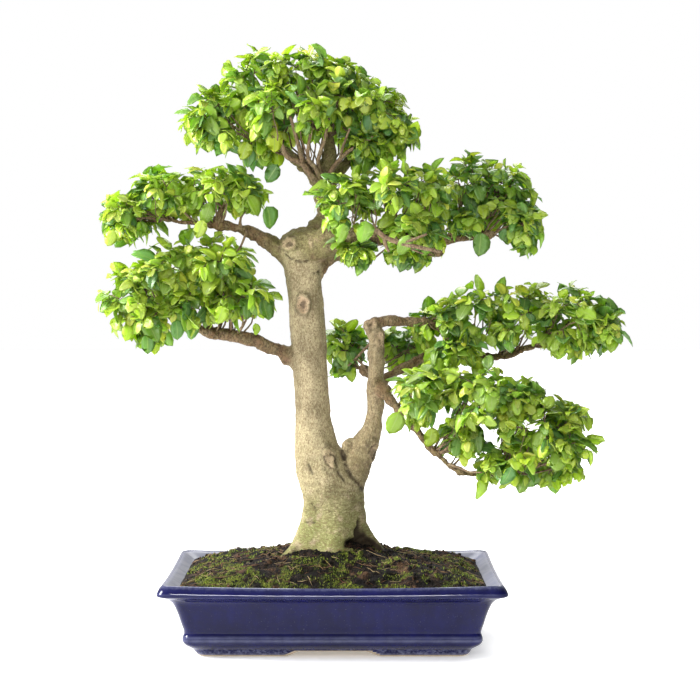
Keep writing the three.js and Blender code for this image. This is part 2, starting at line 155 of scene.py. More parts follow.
def rough(points: np.ndarray, scale: float, seed: int, octaves: int = 3) -> np.ndarray:
    """Fractal noise: lattice noises added up, each half as coarse and half as strong as the last."""
    return sum(lattice_noise(points, scale / 2**i, seed + i) / 2**i for i in range(octaves))


def smooth_run(rows: Sequence[Sequence[float]], step: float) -> np.ndarray:
    """A smooth curve through rows of numbers, whose first three are a place.

    Between two rows it is the cubic that leaves each row along the line between its neighbours,
    taken at even shares of the way.

    Args:
        rows: The rows to pass through.
        step: The longest step along the curve, in millimetres.

    Returns:
        The rows of the curve.
    """
    given = np.asarray(rows, float)
    padded = np.vstack([2 * given[0] - given[1], given, 2 * given[-1] - given[-2]])
    lengths = np.linalg.norm(np.diff(given[:, :3], axis=0), axis=1)
    runs = []
    for i, count in enumerate(np.maximum(2, np.ceil(lengths / step).astype(int))):
        share = np.arange(count)[:, None] / count
        a, b, c, d = padded[i : i + 4]
        runs.append(b + 0.5 * share * ((c - a) + share * (
            (2 * a - 5 * b + 4 * c - d) + share * (3 * b - a - 3 * c + d))))
    return np.vstack([*runs, given[-1:]])


def spread_directions(count: int, lowest: float, random: np.random.Generator) -> np.ndarray:
    """Directions spread evenly over the ball above a height.

    Heights fall in equal steps and each direction is turned by the golden angle from the last,
    with a little jitter.

    Args:
        count: How many directions.
        lowest: The lowest height on the unit ball, from -1 to 1.
        random: Where the jitter comes from.

    Returns:
        Unit vectors, (count, 3).
    """
    index = np.arange(count) + 0.5
    height = 1 - (1 - lowest) * index / count
    turn = index * GOLDEN_ANGLE + random.uniform(0, 6.28)
    across = np.sqrt(np.maximum(0, 1 - height**2))
    even = np.stack([across * np.cos(turn), across * np.sin(turn), height], axis=1)
    return unit(even + random.normal(0, 0.12, even.shape))


# Meshes


@dataclass
class Shape:
    """A surface before it becomes a Blender object.

    points are millimetres, faces are arrays of three or four indices a row, uv is a pair for
    each point, and tint is four numbers for each point, which materials read.
    """

    points: np.ndarray
    faces: list[np.ndarray]
    uv: np.ndarray | None = None
    tint: np.ndarray | None = None

    @staticmethod
    def join(shapes: Sequence["Shape"]) -> "Shape":
        """All the shapes as one, with their points renumbered."""
        starts = np.cumsum([0] + [len(shape.points) for shape in shapes[:-1]])
        faces = [rows + start for shape, start in zip(shapes, starts) for rows in shape.faces]
        parts = {}
        for name in ("uv", "tint"):
            given = [getattr(shape, name) for shape in shapes]
            parts[name] = None if any(part is None for part in given) else np.concatenate(given)
        return Shape(np.concatenate([shape.points for shape in shapes]), faces, **parts)

    def build(self, name: str, material: bpy.types.Material) -> bpy.types.Object:
        """The shape as a smooth-shaded object at the origin.

        Args:
            name: The piece's name.
            material: Its only material.

        Returns:
            The new object, linked to the scene.
        """
        mesh = bpy.data.meshes.new(name)
        corners = np.concatenate([rows.ravel() for rows in self.faces])
        sizes = np.concatenate([np.full(len(rows), rows.shape[1]) for rows in self.faces])
        mesh.vertices.add(len(self.points))
        mesh.vertices.foreach_set("co", to_row(self.points).astype(np.float32).ravel())
        mesh.loops.add(len(corners))
        mesh.loops.foreach_set("vertex_index", corners.astype(np.int32))
        mesh.polygons.add(len(sizes))
        mesh.polygons.foreach_set("loop_start", (np.cumsum(sizes) - sizes).astype(np.int32))
        mesh.update(calc_edges=True)
        if self.uv is not None:
            layer = mesh.uv_layers.new(name="surface")
            layer.uv.foreach_set("vector", self.uv[corners].astype(np.float32).ravel())
        if self.tint is not None:
            set_tint(mesh, self.tint)
        mesh.polygons.foreach_set("use_smooth", np.ones(len(sizes), bool))
        mesh.materials.append(material)
        piece = bpy.data.objects.new(name, mesh)
        bpy.context.scene.collection.objects.link(piece)
        return piece


def set_tint(mesh: bpy.types.Mesh, tint: np.ndarray) -> None:
    """Writes four numbers for each point of a mesh, as the attribute that materials read."""
    attribute = mesh.attributes.new(TINT, "FLOAT_COLOR", "POINT")
    attribute.data.foreach_set("color", tint.astype(np.float32).ravel())


def to_row(points: np.ndarray) -> np.ndarray:
    """Millimetres from the middle of the pot's base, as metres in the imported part's frame."""
    low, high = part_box("pot")
    middle = np.array([(low.x + high.x) / 2, (low.y + high.y) / 2, 0.0])
    return points / 1000 + middle


def from_row(points: np.ndarray) -> np.ndarray:
    """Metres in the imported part's frame, as millimetres from the middle of the pot's base."""
    return (points - to_row(np.zeros(3))) * 1000


def ring_faces(rings: int, sides: int) -> np.ndarray:
    """Quads between neighbouring rings of the same number of points, each ring closed."""
    ring, side = np.meshgrid(np.arange(rings - 1), np.arange(sides), indexing="ij")
    after = (side + 1) % sides
    quad = [ring * sides + side, ring * sides + after, (ring + 1) * sides + after,
            (ring + 1) * sides + side]
    return np.stack(quad, axis=-1).reshape(-1, 4)


def fan_faces(ring_start: int, sides: int, pole: int, first: bool) -> np.ndarray:
    """Triangles from a closed ring to a pole, facing back at the first ring and on at the last."""
    side = np.arange(sides)
    here, after = ring_start + side, ring_start + (side + 1) % sides
    order = [after, here] if first else [here, after]
    return np.stack([*order, np.full(sides, pole)], axis=1)


def capped_faces(rings: int, sides: int) -> list[np.ndarray]:
    """The faces of a run of rings, whose first and last poles come after their points."""
    last = rings * sides
    return [ring_faces(rings, sides), fan_faces(0, sides, last, True),
            fan_faces(last - sides, sides, last + 1, False)]


def capped_rings(rings: np.ndarray, first_pole: np.ndarray, last_pole: np.ndarray) -> Shape:
    """A closed surface through rings, with a pole at each end.

    Args:
        rings: Points, (rings, sides, 3), each ring counterclockwise seen from the last one.
        first_pole: The point that closes the first ring.
        last_pole: The point that closes the last ring.

    Returns:
        The surface.
    """
    points = np.vstack([rings.reshape(-1, 3), first_pole, last_pole])
    return Shape(points, capped_faces(*rings.shape[:2]))


def repeated(points: np.ndarray, faces: Sequence[np.ndarray]) -> tuple[np.ndarray, list[np.ndarray]]:
    """The same faces for each of many copies of a shape.

    Args:
        points: Points, (copies, points of one, 3).
        faces: The faces of one.

    Returns:
        All the points in one list, and all the faces.
    """
    copies, each = points.shape[:2]
    start = (np.arange(copies) * each)[:, None, None]
    return points.reshape(-1, 3), [(rows[None] + start).reshape(-1, rows.shape[1]) for rows in faces]


def tubes(paths: np.ndarray, radii: np.ndarray, sides: int) -> Shape:
    """Round tubes carried along paths, each closed to a point at both ends.

    Each ring is a circle square to the path: the middle, plus the radius times the cosine of
    the angle across, plus the radius times its sine upwards.

    Args:
        paths: Middles, (tubes, stations, 3).
        radii: Radii, (tubes, stations).
        sides: Sides of a ring.

    Returns:
        The tubes as one shape.
    """
    copies, stations = radii.shape
    along = unit(np.gradient(paths, axis=1))
    mean = np.abs(along.mean(axis=1))
    reference = np.eye(3)[np.argmin(mean, axis=1)][:, None, :]
    across = unit(np.cross(reference, along))
    upwards = np.cross(along, across)
    angle = np.arange(sides) / sides * 2 * math.pi
    circle = (across[:, :, None] * np.cos(angle)[:, None]
              + upwards[:, :, None] * np.sin(angle)[:, None])
    rings = paths[:, :, None] + radii[:, :, None, None] * circle
    ends = paths[:, [0, -1]] + along[:, [0, -1]] * radii[:, [0, -1], None] * np.array([[-0.6], [0.6]])
    each = np.concatenate([rings.reshape(copies, -1, 3), ends], axis=1)
    return Shape(*repeated(each, capped_faces(stations, sides)))


def apply_modifiers(piece: bpy.types.Object) -> None:
    """Replaces a piece's mesh with what its modifiers make of it."""
    evaluated = piece.evaluated_get(bpy.context.evaluated_depsgraph_get())
    mesh = bpy.data.meshes.new_from_object(evaluated)
    piece.modifiers.clear()
    old, piece.data = piece.data, mesh
    bpy.data.meshes.remove(old)


def settle(piece: bpy.types.Object, slot: Slot, *nodes: str) -> None:
    """Makes a piece ride on the part, and stand for the nodes it replaces."""
    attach(piece, "root")
    if nodes:
        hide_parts(*nodes)
    LOG.info("%s: %d faces, stands for %s", piece.name, len(piece.data.polygons), nodes or "no node")


# Shaders


class Wire:
    """A socket that carries a value, with the arithmetic that shader maths needs."""

    def __init__(self, tree: "Tree", socket: bpy.types.NodeSocket) -> None:
        """Wraps a socket of a tree's node."""
        self.tree = tree
        self.socket = socket

    def _maths(self, operation: str, *values: "Wire | float") -> "Wire":
        """A Math node of these values."""
        return self.tree.add("ShaderNodeMath", {"operation": operation}, dict(enumerate(values)))

    def __add__(self, other: "Wire | float") -> "Wire":
        """The sum."""
        return self._maths("ADD", self, other)

    __radd__ = __add__

    def __sub__(self, other: "Wire | float") -> "Wire":
        """The difference."""
        return self._maths("SUBTRACT", self, other)

    def __rsub__(self, other: float) -> "Wire":
        """A number less this."""
        return self._maths("SUBTRACT", other, self)

    def __mul__(self, other: "Wire | float") -> "Wire":
        """The product."""
        return self._maths("MULTIPLY", self, other)

    __rmul__ = __mul__

    def size(self) -> "Wire":
        """This without its sign."""
        return self._maths("ABSOLUTE", self)

    def most(self, other: "Wire | float") -> "Wire":
        """The larger of the two."""
        return self._maths("MAXIMUM", self, other)

    def part(self) -> "Wire":
        """What is left of this over the whole number below it."""
        return self._maths("FRACT", self)

    def over(self, low: float, high: float) -> "Wire":
        """0 below low, 1 above high, and smooth between; high may be the lower one."""
        return self.tree.add(
            "ShaderNodeMapRange", {"interpolation_type": "SMOOTHSTEP"},
            {"Value": self, "From Min": low, "From Max": high})


class Tree:
    """A material's nodes, all added by one method."""

    def __init__(self, name: str) -> None:
        """Starts a material with an empty tree.

        Args:
            name: The material's name.
        """
        self.material = bpy.data.materials.new(name)
        self.material.use_nodes = True
        self.material.node_tree.nodes.clear()
        self.place = self.add("ShaderNodeTexCoord", output="Object")

    def add(self, kind: str, settings: dict | None = None, inputs: dict | None = None,
            output: int | str = 0) -> Wire | None:
        """Adds a node.

        Args:
            kind: The node's type.
            settings: What is set on it first, such as an operation.
            inputs: A value or a wire for each socket, by name or index.
            output: Which of its outputs to return.

        Returns:
            The output, as a wire, or None for a node that has none.
        """
        node = self.material.node_tree.nodes.new(kind)
        for key, value in (settings or {}).items():
            setattr(node, key, value)
        for key, value in (inputs or {}).items():
            if isinstance(value, Wire):
                self.material.node_tree.links.new(value.socket, node.inputs[key])
            else:
                node.inputs[key].default_value = value
        return Wire(self, node.outputs[output]) if len(node.outputs) else None

    def tint(self, output: str = "Color") -> Wire:
        """The colour that a mesh carries at each point, or its fourth number."""
        return self.add("ShaderNodeAttribute", {"attribute_name": TINT}, output=output)

    def tint_parts(self) -> tuple[Wire, Wire, Wire, Wire]:
        """The four numbers that a mesh carries at each point."""
        parts = [self.add("ShaderNodeSeparateColor", {}, {0: self.tint()}, i) for i in range(3)]
        return (*parts, self.tint("Alpha"))

    def flat(self, vector: Wire) -> tuple[Wire, Wire]:
        """The first two numbers of a vector."""
        x, y = (self.add("ShaderNodeSeparateXYZ", {}, {0: vector}, i) for i in range(2))
        return x, y

    def scaled(self, pitch: float, stretch: Sequence[float]) -> Wire:
        """The place over a pitch in millimetres, and over how far each axis is drawn out."""
        scale = [1000 / pitch / part for part in stretch]
        return self.add("ShaderNodeVectorMath", {"operation": "MULTIPLY"}, {0: self.place, 1: scale})

    def noise(self, pitch: float, detail: float = 3.0, stretch: Sequence[float] = (1, 1, 1),
              distortion: float = 0.0) -> Wire:
        """Noise of a pitch in millimetres, drawn out where stretch is over one."""
        place = self.scaled(pitch, stretch)
        return self.add("ShaderNodeTexNoise", {}, {
            "Vector": place, "Scale": 1.0, "Detail": detail, "Distortion": distortion})

    def cells(self, pitch: float, stretch: Sequence[float] = (1, 1, 1)) -> Wire:
        """How far each place is from the middle of its cell, with cells of a pitch in millimetres."""
        return self.add("ShaderNodeTexVoronoi", {}, {"Vector": self.scaled(pitch, stretch), "Scale": 1.0})

    def mix(self, factor: Wire | float, first: Wire | tuple, second: Wire | tuple,
            mode: str = "MIX") -> Wire:
        """Two colours mixed."""
        return self.add("ShaderNodeMix", {"data_type": "RGBA", "blend_type": mode},
                        {0: factor, 6: first, 7: second}, output=2)

    def shaded(self, factor: Wire, colour: Wire, shade: tuple) -> Wire:
        """A colour mixed with its own product with a shade."""
        return self.mix(factor, colour, self.mix(1.0, colour, shade, "MULTIPLY"))

    def bump(self, height: Wire, depth: float, strength: float = 1.0) -> Wire:
        """A normal from a height, whose whole range is a depth in millimetres."""
        return self.add("ShaderNodeBump", {},
                        {"Height": height, "Distance": depth / 1000, "Strength": strength})

    def principled(self, **sockets: Wire | float | tuple) -> Wire:
        """A surface shader, whose sockets are named in lower case with low lines for spaces."""
        named = {key.replace("_", " ").title().replace("Ior", "IOR"): value
                 for key, value in sockets.items()}
        return self.add("ShaderNodeBsdfPrincipled", {}, named)

    def finish(self, shader: Wire) -> bpy.types.Material:
        """The finished material, with this shader on its surface."""
        self.add("ShaderNodeOutputMaterial", {}, {"Surface": shader})
        return self.material


@dataclass(frozen=True)
class GlazeFinish:
    """Deep blue gloss glaze, greyer where it thins and where highlights are painted, over buff clay that
    shows under the feet.
    """

    deep: tuple = tone(5, 6, 52)
    light: tuple = tone(17, 20, 90)
    # The pale of thin glaze, also the colour of the painted highlights on the rim and bead.
    thin: tuple = tone(124, 128, 158)
    haze: tuple = tone(106, 108, 118)
    clay: tuple = tone(216, 200, 176)
    grit: tuple = tone(168, 150, 124)
    polished: float = 0.08

    def material(self) -> bpy.types.Material:
        """The material. The mesh's tint is thin glaze with painted highlights, bare clay, whitish mottling
        and limy haze.
        """
        tree = Tree("blue_glaze")
        thin, bare, mottled, limy = tree.tint_parts()
        cloud = tree.noise(55, 3).over(0.35, 0.7)
        streak = tree.noise(9, 3, (1, 1, 4)).over(0.45, 0.75)
        speck = tree.noise(1.6, 2).over(0.68, 0.76)
        colour = tree.mix(cloud * 0.35 + streak * 0.2, self.deep, self.light)
        # Paler where the glaze thins, and in the painted highlight and reflection bands on the rim and bead.
        edge = (thin * (tree.noise(12, 3).over(0.2, 0.75) * 0.3 + 0.7)).over(0.02, 1.0)
        colour = tree.mix(edge * 0.8, colour, self.thin)
        veil = mottled * tree.noise(4, 5, distortion=0.8).over(0.38, 0.72)
        colour = tree.mix(veil * 0.8, colour, self.thin)
        colour = tree.mix(speck * 0.2, colour, self.thin)
        cloudy = limy * (tree.noise(16, 5, distortion=0.6).over(0.3, 0.66) * 0.5 + 0.28)
        colour = tree.mix(cloudy, colour, self.haze)
        clay = bare.over(0.4, 0.6)
        gritty = tree.mix(tree.noise(1.2, 2), self.clay, self.grit)
        colour = tree.mix(clay, colour, gritty)
        pits = tree.cells(6).over(0.0, 0.1)
        height = tree.noise(26, 2) + pits * 0.12 + clay * tree.noise(0.8, 2) * 0.3
        roughness = edge * 0.05 + clay * 0.5 + mottled * 0.2 + limy * 0.3 + self.polished
        shader = tree.principled(
            base_color=colour, roughness=roughness, specular_ior_level=0.28,
            normal=tree.bump(height, 0.5, 0.6))
        return tree.finish(shader)


@dataclass(frozen=True)
class BarkFinish:
    """Grey-beige bark with dark pores, green low down, and brown and rough on the limbs."""

    beige: tuple = tone(184, 169, 134)
    grey: tuple = tone(120, 108, 80)
    brown: tuple = tone(124, 91, 69)
    # The dark brown of cracks and scars, also the colour of painted shade.
    deep: tuple = tone(52, 40, 30)
    pore: tuple = tone(118, 98, 70)
    pore_dark: tuple = tone(94, 74, 50)
    algae: tuple = tone(116, 126, 56)
    mould: tuple = tone(74, 72, 38)
    pale: tuple = tone(220, 206, 166)
    scar: tuple = tone(206, 180, 148)

    def material(self) -> bpy.types.Material:
        """The material. The mesh's tint is green, brown, dark, which is painted shade with some dirt, and
        scarred wood.
        """
        tree = Tree("privet_bark")
        green, brown, dark, scar = tree.tint_parts()
        patch = tree.noise(22, 5, (1, 1, 1.5)).over(0.36, 0.68)
        colour = tree.mix(patch * 0.8, self.beige, self.grey)
        colour = tree.mix(brown * (tree.noise(9, 3).over(0.25, 0.7) * 0.5 + 0.5), colour, self.brown)
        algae = green * tree.noise(13, 6, distortion=0.5).over(0.28, 0.52)
        colour = tree.mix(algae * 0.74, colour, self.algae)
        level = green.over(0.35, 0.8)
        grain = (tree.noise(1.8, 6, (1, 1, 1.5), 0.8) * (1 - level)
                 + tree.noise(1.5, 6, (2.1, 2.1, 0.9), 0.8) * level)
        colour = tree.mix(grain.over(0.44, 0.68) * (0.75 - brown * 0.3), colour, self.pore)
        colour = tree.mix(grain.over(0.5, 0.3) * 0.3 * (1 - brown), colour, self.pale)
        pore = self.pores(tree, 2.4, 0.3, 0.07).most(self.pores(tree, 3.8, 0.26, 0.12))
        colour = tree.mix(pore * (0.74 - brown * 0.4 - level * 0.3), colour, self.pore_dark)
        flake = tree.noise(3.4, 5, (1, 1, 2.2), 0.5)
        pitted = tree.noise(2.6, 6, distortion=1.2).over(0.56, 0.68) * level
        colour = tree.mix(pitted * 0.5, colour, self.mould)
        crack = (flake - 0.5).size().over(0.045, 0.0) * (brown * 0.85 + 0.1)
        colour = tree.mix(crack * 0.8, colour, self.deep)
        ragged = tree.noise(3, 4, distortion=1.0)
        colour = tree.mix(scar * ragged.over(0.3, 0.45), colour, self.scar)
        colour = tree.mix(scar * ragged.over(0.44, 0.34) * 0.9, colour, self.deep)
        # Painted shade from the mesh's dark tint, in cracks, wounds, hollows and about the foot, with some
        # dirt.
        colour = tree.mix(dark * 0.94, colour, self.deep)
        waist = green.over(0.2, 0.4) * (1 - green.over(0.76, 0.96))
        wrinkle = (tree.noise(3.0, 3, (4.5, 4.5, 1), 0.5) - 0.5).size().over(0.035, 0.0) * waist
        colour = tree.mix(wrinkle * 0.4, colour, self.pore_dark)
        height = (tree.noise(5, 5) * (brown * 1.2 + 0.35) + flake * (brown * 0.7 + 0.2) + grain * 0.35
                  - wrinkle * 0.3 - pore * 0.25 - crack * 0.45 + scar * ragged * 0.8)
        shader = tree.principled(
            base_color=colour, roughness=0.88 - patch * 0.08, specular_ior_level=0.3,
            normal=tree.bump(height, 1.5, 0.9))
        return tree.finish(shader)

    def pores(self, tree: Tree, pitch: float, size: float, less: float) -> Wire:
        """Small dark spots, one in each cell, a little higher than wide, and of uneven sizes.

        Args:
            tree: The material's nodes.
            pitch: The cells' pitch in millimetres.
            size: The largest spot's radius over the pitch.
            less: How much smaller the smallest spots are.

        Returns:
            1 in a spot and 0 outside.
        """
        stretch = (0.95, 0.95, 1.25)
        uneven = tree.noise(pitch * 1.7, 2) * less * 4
        return (tree.cells(pitch, stretch) + uneven).over(size + less, size * 0.55 + less)


@dataclass(frozen=True)
class LeafFinish:
    """Glossy leaf that lets light through, with a pale midrib and fine side veins."""

    rib: tuple = tone(196, 212, 128)
    glow: tuple = tone(206, 236, 66)
    shade: tuple = (0.62, 0.72, 0.6, 1)
    through: float = 0.52
    side_veins: float = 7.0

    def material(self) -> bpy.types.Material:
        """The material. The mesh's tint is the leaf's own colour, and its uv runs along it."""
        tree = Tree("privet_leaf")
        across, along = tree.flat(tree.add("ShaderNodeUVMap", {"uv_map": "surface"}))
        side = across.size()
        rib, edge = side.over(0.1, 0.02), side.over(0.86, 1.0)
        slant = (along * self.side_veins - side * 1.6).part()
        vein = (slant - 0.5).size().over(0.1, 0.0) * side.over(1.0, 0.2)
        blotch = tree.noise(9, 3).over(0.3, 0.7)
        colour = tree.shaded(blotch * 0.28, tree.tint(), self.shade)
        colour = tree.mix(rib * 0.55 + vein * 0.16, colour, self.rib)
        colour = tree.mix(edge * 0.25, colour, self.rib)
        height = tree.noise(2.4, 2) * 0.3 - rib * 0.6 - vein * 0.5
        shader = tree.principled(
            base_color=colour, roughness=0.25 + blotch * 0.14, specular_ior_level=1.0,
            normal=tree.bump(height, 0.35, 0.6))
        glow = tree.mix(0.4, colour, self.glow)
        through = tree.add("ShaderNodeBsdfTranslucent", {}, {"Color": glow})
        return tree.finish(tree.add("ShaderNodeMixShader", {}, {0: self.through, 1: shader, 2: through}))


@dataclass(frozen=True)
class SoilFinish:
    """Dark crumbly soil with darker damp patches, and green where moss has started."""

    dark: tuple = tone(11, 9, 9)
    dry: tuple = tone(112, 84, 62)
    moss: tuple = tone(92, 100, 36)
    straw: tuple = tone(168, 142, 112)

    def material(self) -> bpy.types.Material:
        """The material. The mesh's tint is moss and dryness."""
        tree = Tree("dark_soil")
        moss, dry, _, _ = tree.tint_parts()
        crumb = tree.cells(2.2)
        fine = tree.noise(1.5, 4)
        colour = tree.mix((fine * 0.9 + dry * 0.5).over(0.4, 1.0), self.dark, self.dry)
        colour = tree.mix(moss * tree.noise(3, 5).over(0.4, 0.56), colour, self.moss)
        fleck = tree.cells(3.4).over(0.2, 0.12) * tree.noise(8, 2).over(0.5, 0.6)
        colour = tree.mix(fleck * 0.5, colour, self.straw)
        colour = tree.mix(tree.noise(30, 5).over(0.44, 0.58) * 0.85, colour, self.dark)
        shader = tree.principled(
            base_color=colour, roughness=0.92 - fine * 0.1, specular_ior_level=0.16,
            normal=tree.bump((1 - crumb) * 0.8 + fine * 0.6, 1.4, 1.0))
        return tree.finish(shader)


@dataclass(frozen=True)
class StrandFinish:
    """A plain natural strand, such as straw or moss, whose colour is in its mesh."""

    name: str
    roughness: float = 0.8
    shade: tuple = (0.5, 0.48, 0.4, 1)

    def material(self) -> bpy.types.Material:
        """The material. The mesh's tint is its own colour."""
        tree = Tree(self.name)
        grain = tree.noise(1.1, 3)
        colour = tree.shaded(grain * 0.6, tree.tint(), self.shade)
        shader = tree.principled(
            base_color=colour, roughness=self.roughness - grain * 0.1, specular_ior_level=0.3,
            normal=tree.bump(grain, 0.2, 0.5))
        return tree.finish(shader)


@dataclass(frozen=True)
class ScreenFinish:
    """Matt black moulded plastic with a fine grain and a little soil dust."""

    black: tuple = tone(30, 31, 32)
    dust: tuple = tone(92, 78, 60)

    def material(self) -> bpy.types.Material:
        """The material."""
        tree = Tree("screen_plastic")
        dust = tree.noise(3.5, 4).over(0.5, 0.75)
        grain = tree.noise(0.4, 2)
        shader = tree.principled(
            base_color=tree.mix(dust * 0.6, self.black, self.dust),
            roughness=0.5 + dust * 0.3, normal=tree.bump(grain, 0.05, 0.5))
        return tree.finish(shader)


# Pot


@dataclass
class Pot:
    """The glazed pot: rounded rectangles carried round one profile, on four feet.

    outside and inside are rows of half width and height. An arch or the recess under the floor
    is a pair, along X and along Y, of where it starts and where it has its full height. A thin
    row says where the glaze is paler over an edge: its height, how far that reaches, how pale it
    gets, and the least half width. Most are glaze thinning over an edge; the rows at 79.6 on the
    rim's front and at 25.4 and 20.4 on the bead are painted highlight lines.
    """

    less_deep: float = 52
    corner: float = 11
    sag: float = 3
    sag_from: float = 70
    rim_top: float = 89.5
    arch: float = 7
    arches: tuple = ((58, 37), (42, 23))
    recess: tuple = ((129.5, 127), (79.5, 77))
    floor_top: float = 16.5
    drain_x: float = 72
    drain_radius: float = 10
    outside: tuple = (
        (155.5, 0), (158.5, 1.5), (161, 5), (163.5, 9), (168.5, 12.5), (173, 16.5), (175, 21),
        (174.6, 25), (173.2, 29.5), (174, 34), (176, 40), (179.5, 52), (183.5, 62.5), (187, 68),
        (193, 72.6), (199.6, 75.2), (201.9, 76.6), (202.3, 78.3), (201.5, 81.2), (199.4, 85.4),
        (196.2, 89.2))
    inside: tuple = ((190.5, 86.5), (180, 79.5), (174.5, 76), (168, 62), (164, 40), (161, 24), (160, 16.5))
    # The rows at 79.6, 25.4 and 20.4 are painted highlight lines on the rim's front and the bead.
    thin: tuple = (
        (79.6, 1.3, 0.36, 0), (88.4, 1.4, 0.36, 0), (22.5, 4.6, 0.36, 165), (25.4, 1.2, 0.24, 165),
        (20.4, 1.2, 0.24, 165), (2.4, 3.2, 0.5, 0), (75, 2.5, 0.3, 188))
    bare_under: float = 2.2
    long_points: int = 66
    short_points: int = 44
    corner_points: int = 7

    def outline(self) -> tuple[np.ndarray, np.ndarray, np.ndarray]:
        """The pot's outline seen from above, before it has a size.

        Each point is a share of the inner rectangle, which the corner radius then widens along
        the outward direction.

        Returns:
            Shares of the inner rectangle, outward directions, and how far along its side's sag.
        """
        shares, outward, sags = [], [], []
        sides = [((1, 0), self.short_points), ((0, 1), self.long_points),
                 ((-1, 0), self.short_points), ((0, -1), self.long_points)]
        for turn, ((x, y), count) in enumerate(sides):
            run = np.linspace(-1, 1, count)
            forward = np.array([-y, x])
            shares.append(np.array([x, y]) + run[:, None] * forward)
            outward.append(np.tile([x, y], (count, 1)))
            sags.append(1 - run**2)
            angle = (turn + np.linspace(0, 1, self.corner_points + 2)[1:-1]) * math.pi / 2
            corner = np.array([x, y]) + forward
            shares.append(np.tile(corner, (len(angle), 1)))
            outward.append(np.stack([np.cos(angle), np.sin(angle)], axis=1))
            sags.append(np.zeros(len(angle)))
        return np.concatenate(shares), np.concatenate(outward), np.concatenate(sags)

    def rings(self, rows: np.ndarray) -> np.ndarray:
        """The outline at each row of half width, half depth, corner radius and height.

        A point is its share of the half size less the corner, plus the corner radius outwards,
        and hangs below its row by the sag where the row is near the rim.
        """
        shares, outward, sags = self.outline()
        half = rows[:, None, :2]
        radius = rows[:, None, 2:3]
        flat = shares * (half - radius) + outward * radius
        drop = self.sag * np.clip((rows[:, 3] - self.sag_from) / (self.rim_top - self.sag_from), 0, 1)
        height = rows[:, 3:4] - drop[:, None] * sags
        return np.concatenate([flat, height[..., None]], axis=2)

    def profile(self, rows: Sequence[Sequence[float]], step: float) -> np.ndarray:
        """Smoothed rows of half width, half depth, corner radius and height."""
        curve = smooth_run([(half, 0.0, z) for half, z in rows], step)
        half, z = curve[:, 0], curve[:, 2]
        return np.stack([half, half - self.less_deep, np.full_like(half, self.corner), z], axis=1)

    def feet(self, points: np.ndarray) -> np.ndarray:
        """Height of the pot's underside over each point: the arches and the recess under the floor.

        Each arch is the arch height times a smoothstep across its flank, and the highest wins.
        """
        x, y = np.abs(points[..., 0]), np.abs(points[..., 1])
        (arch_x, arch_y), (recess_x, recess_y) = self.arches, self.recess
        arches = np.maximum(ease(x, *arch_x), ease(y, *arch_y))
        recess = np.minimum(ease(x, *recess_x), ease(y, *recess_y))
        return self.arch * np.maximum(arches, recess)

    def shape(self) -> Shape:
        """The whole pot as one closed surface, from under its floor round its rim to its inside."""
        outside, inside = self.profile(self.outside, 3.0), self.profile(self.inside, 5)
        shrink = np.linspace(0.03, 0.985, 30)[:, None]
        under = outside[0] * np.hstack([shrink, shrink, shrink, 0 * shrink])
        floor = inside[-1] * np.hstack([shrink, shrink, shrink, 0 * shrink + 1])
        rows = np.vstack([under, outside, inside, floor[::-4]])
        rings = self.rings(rows)
        low = rings[..., 2] < self.arch
        rings[..., 2] = np.where(low, np.maximum(rings[..., 2], self.feet(rings)), rings[..., 2])
        poles = np.array([[0.0, 0.0, self.arch], [0.0, 0.0, self.floor_top]])
        shape = capped_rings(rings, *poles)
        within = np.arange(len(rows)) >= len(under) + len(outside)
        shape.tint = self.glaze(shape.points, np.repeat(rows, rings.shape[1], axis=0),
                                np.repeat(within, rings.shape[1]))
        return shape

    def glaze(self, points: np.ndarray, rows: np.ndarray, within: np.ndarray) -> np.ndarray:
        """How the glaze lies on the pot.

        It is thin in a bell round each edge, with painted highlight lines on the rim's front and the
        bead, and a painted reflection makes the rim paler above its front highlight. It is bare up to
        a little over the underside, mottled at the foot and on the rim's top, and limy inside the lip.

        Args:
            points: The pot's points, with a pole at each end as the last two.
            rows: The row of each point but the poles, which gives its height without the sag.
            within: Whether each of them is inside the pot.

        Returns:
            How thin the glaze is, with its painted highlights, and how bare, mottled and limy, at each
            point.
        """
        half, level = rows[:, 0], rows[:, 3]
        # Painted reflection: the rim above its front highlight is made paler, as if it caught the room's
        # light.
        thin = 0.12 * ease(level, 80.5, 83.5)
        for middle, width, strength, least in self.thin:
            thin += strength * bell(level, middle, width) * (half > least)
        lip = within * ease(level, 66, 76)
        tint = np.zeros((len(points), 4))
        tint[:-2, 0] = np.maximum(np.clip(thin, 0, 1), 0.4 * lip)
        under = np.concatenate([self.feet(points[:-2]) + self.bare_under, [0, 0]])
        tint[:, 1] = ease(points[:, 2] - under, 0.6, -0.2) * (points[:, 2] < self.arch + 2)
        tint[:-2, 2] = np.clip(ease(level, 15, 3) + 0.3 * ease(level, 84, 89), 0, 1)
        tint[:-2, 3] = lip
        return tint

    def drill(self, piece: bpy.types.Object) -> None:
        """Cuts the two drain holes through the floor."""
        stations = np.array([-1.0, self.floor_top + 4])
        paths = np.array([[(x, 0.0, z) for z in stations] for x in (-self.drain_x, self.drain_x)])
        drills = tubes(paths, np.full((2, 2), self.drain_radius), 32)
        cutter = drills.build("drill", piece.data.materials[0])
        cut = piece.modifiers.new("drain", "BOOLEAN")
        cut.operation, cut.object, cut.solver = "DIFFERENCE", cutter, "EXACT"
        apply_modifiers(piece)
        bpy.data.objects.remove(cutter)

    def build(self) -> None:
        """Makes the pot and dresses the two screens over its drain holes."""
        piece = self.shape().build("glazed_pot", GlazeFinish().material())
        self.drill(piece)
        settle(piece, Slot.GLAZE, "pot")
        plastic = ScreenFinish().material()
        for name in ("drain_screen_left", "drain_screen_right"):
            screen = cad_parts[name]
            screen.data.materials.clear()
            screen.data.materials.append(plastic)


# Soil


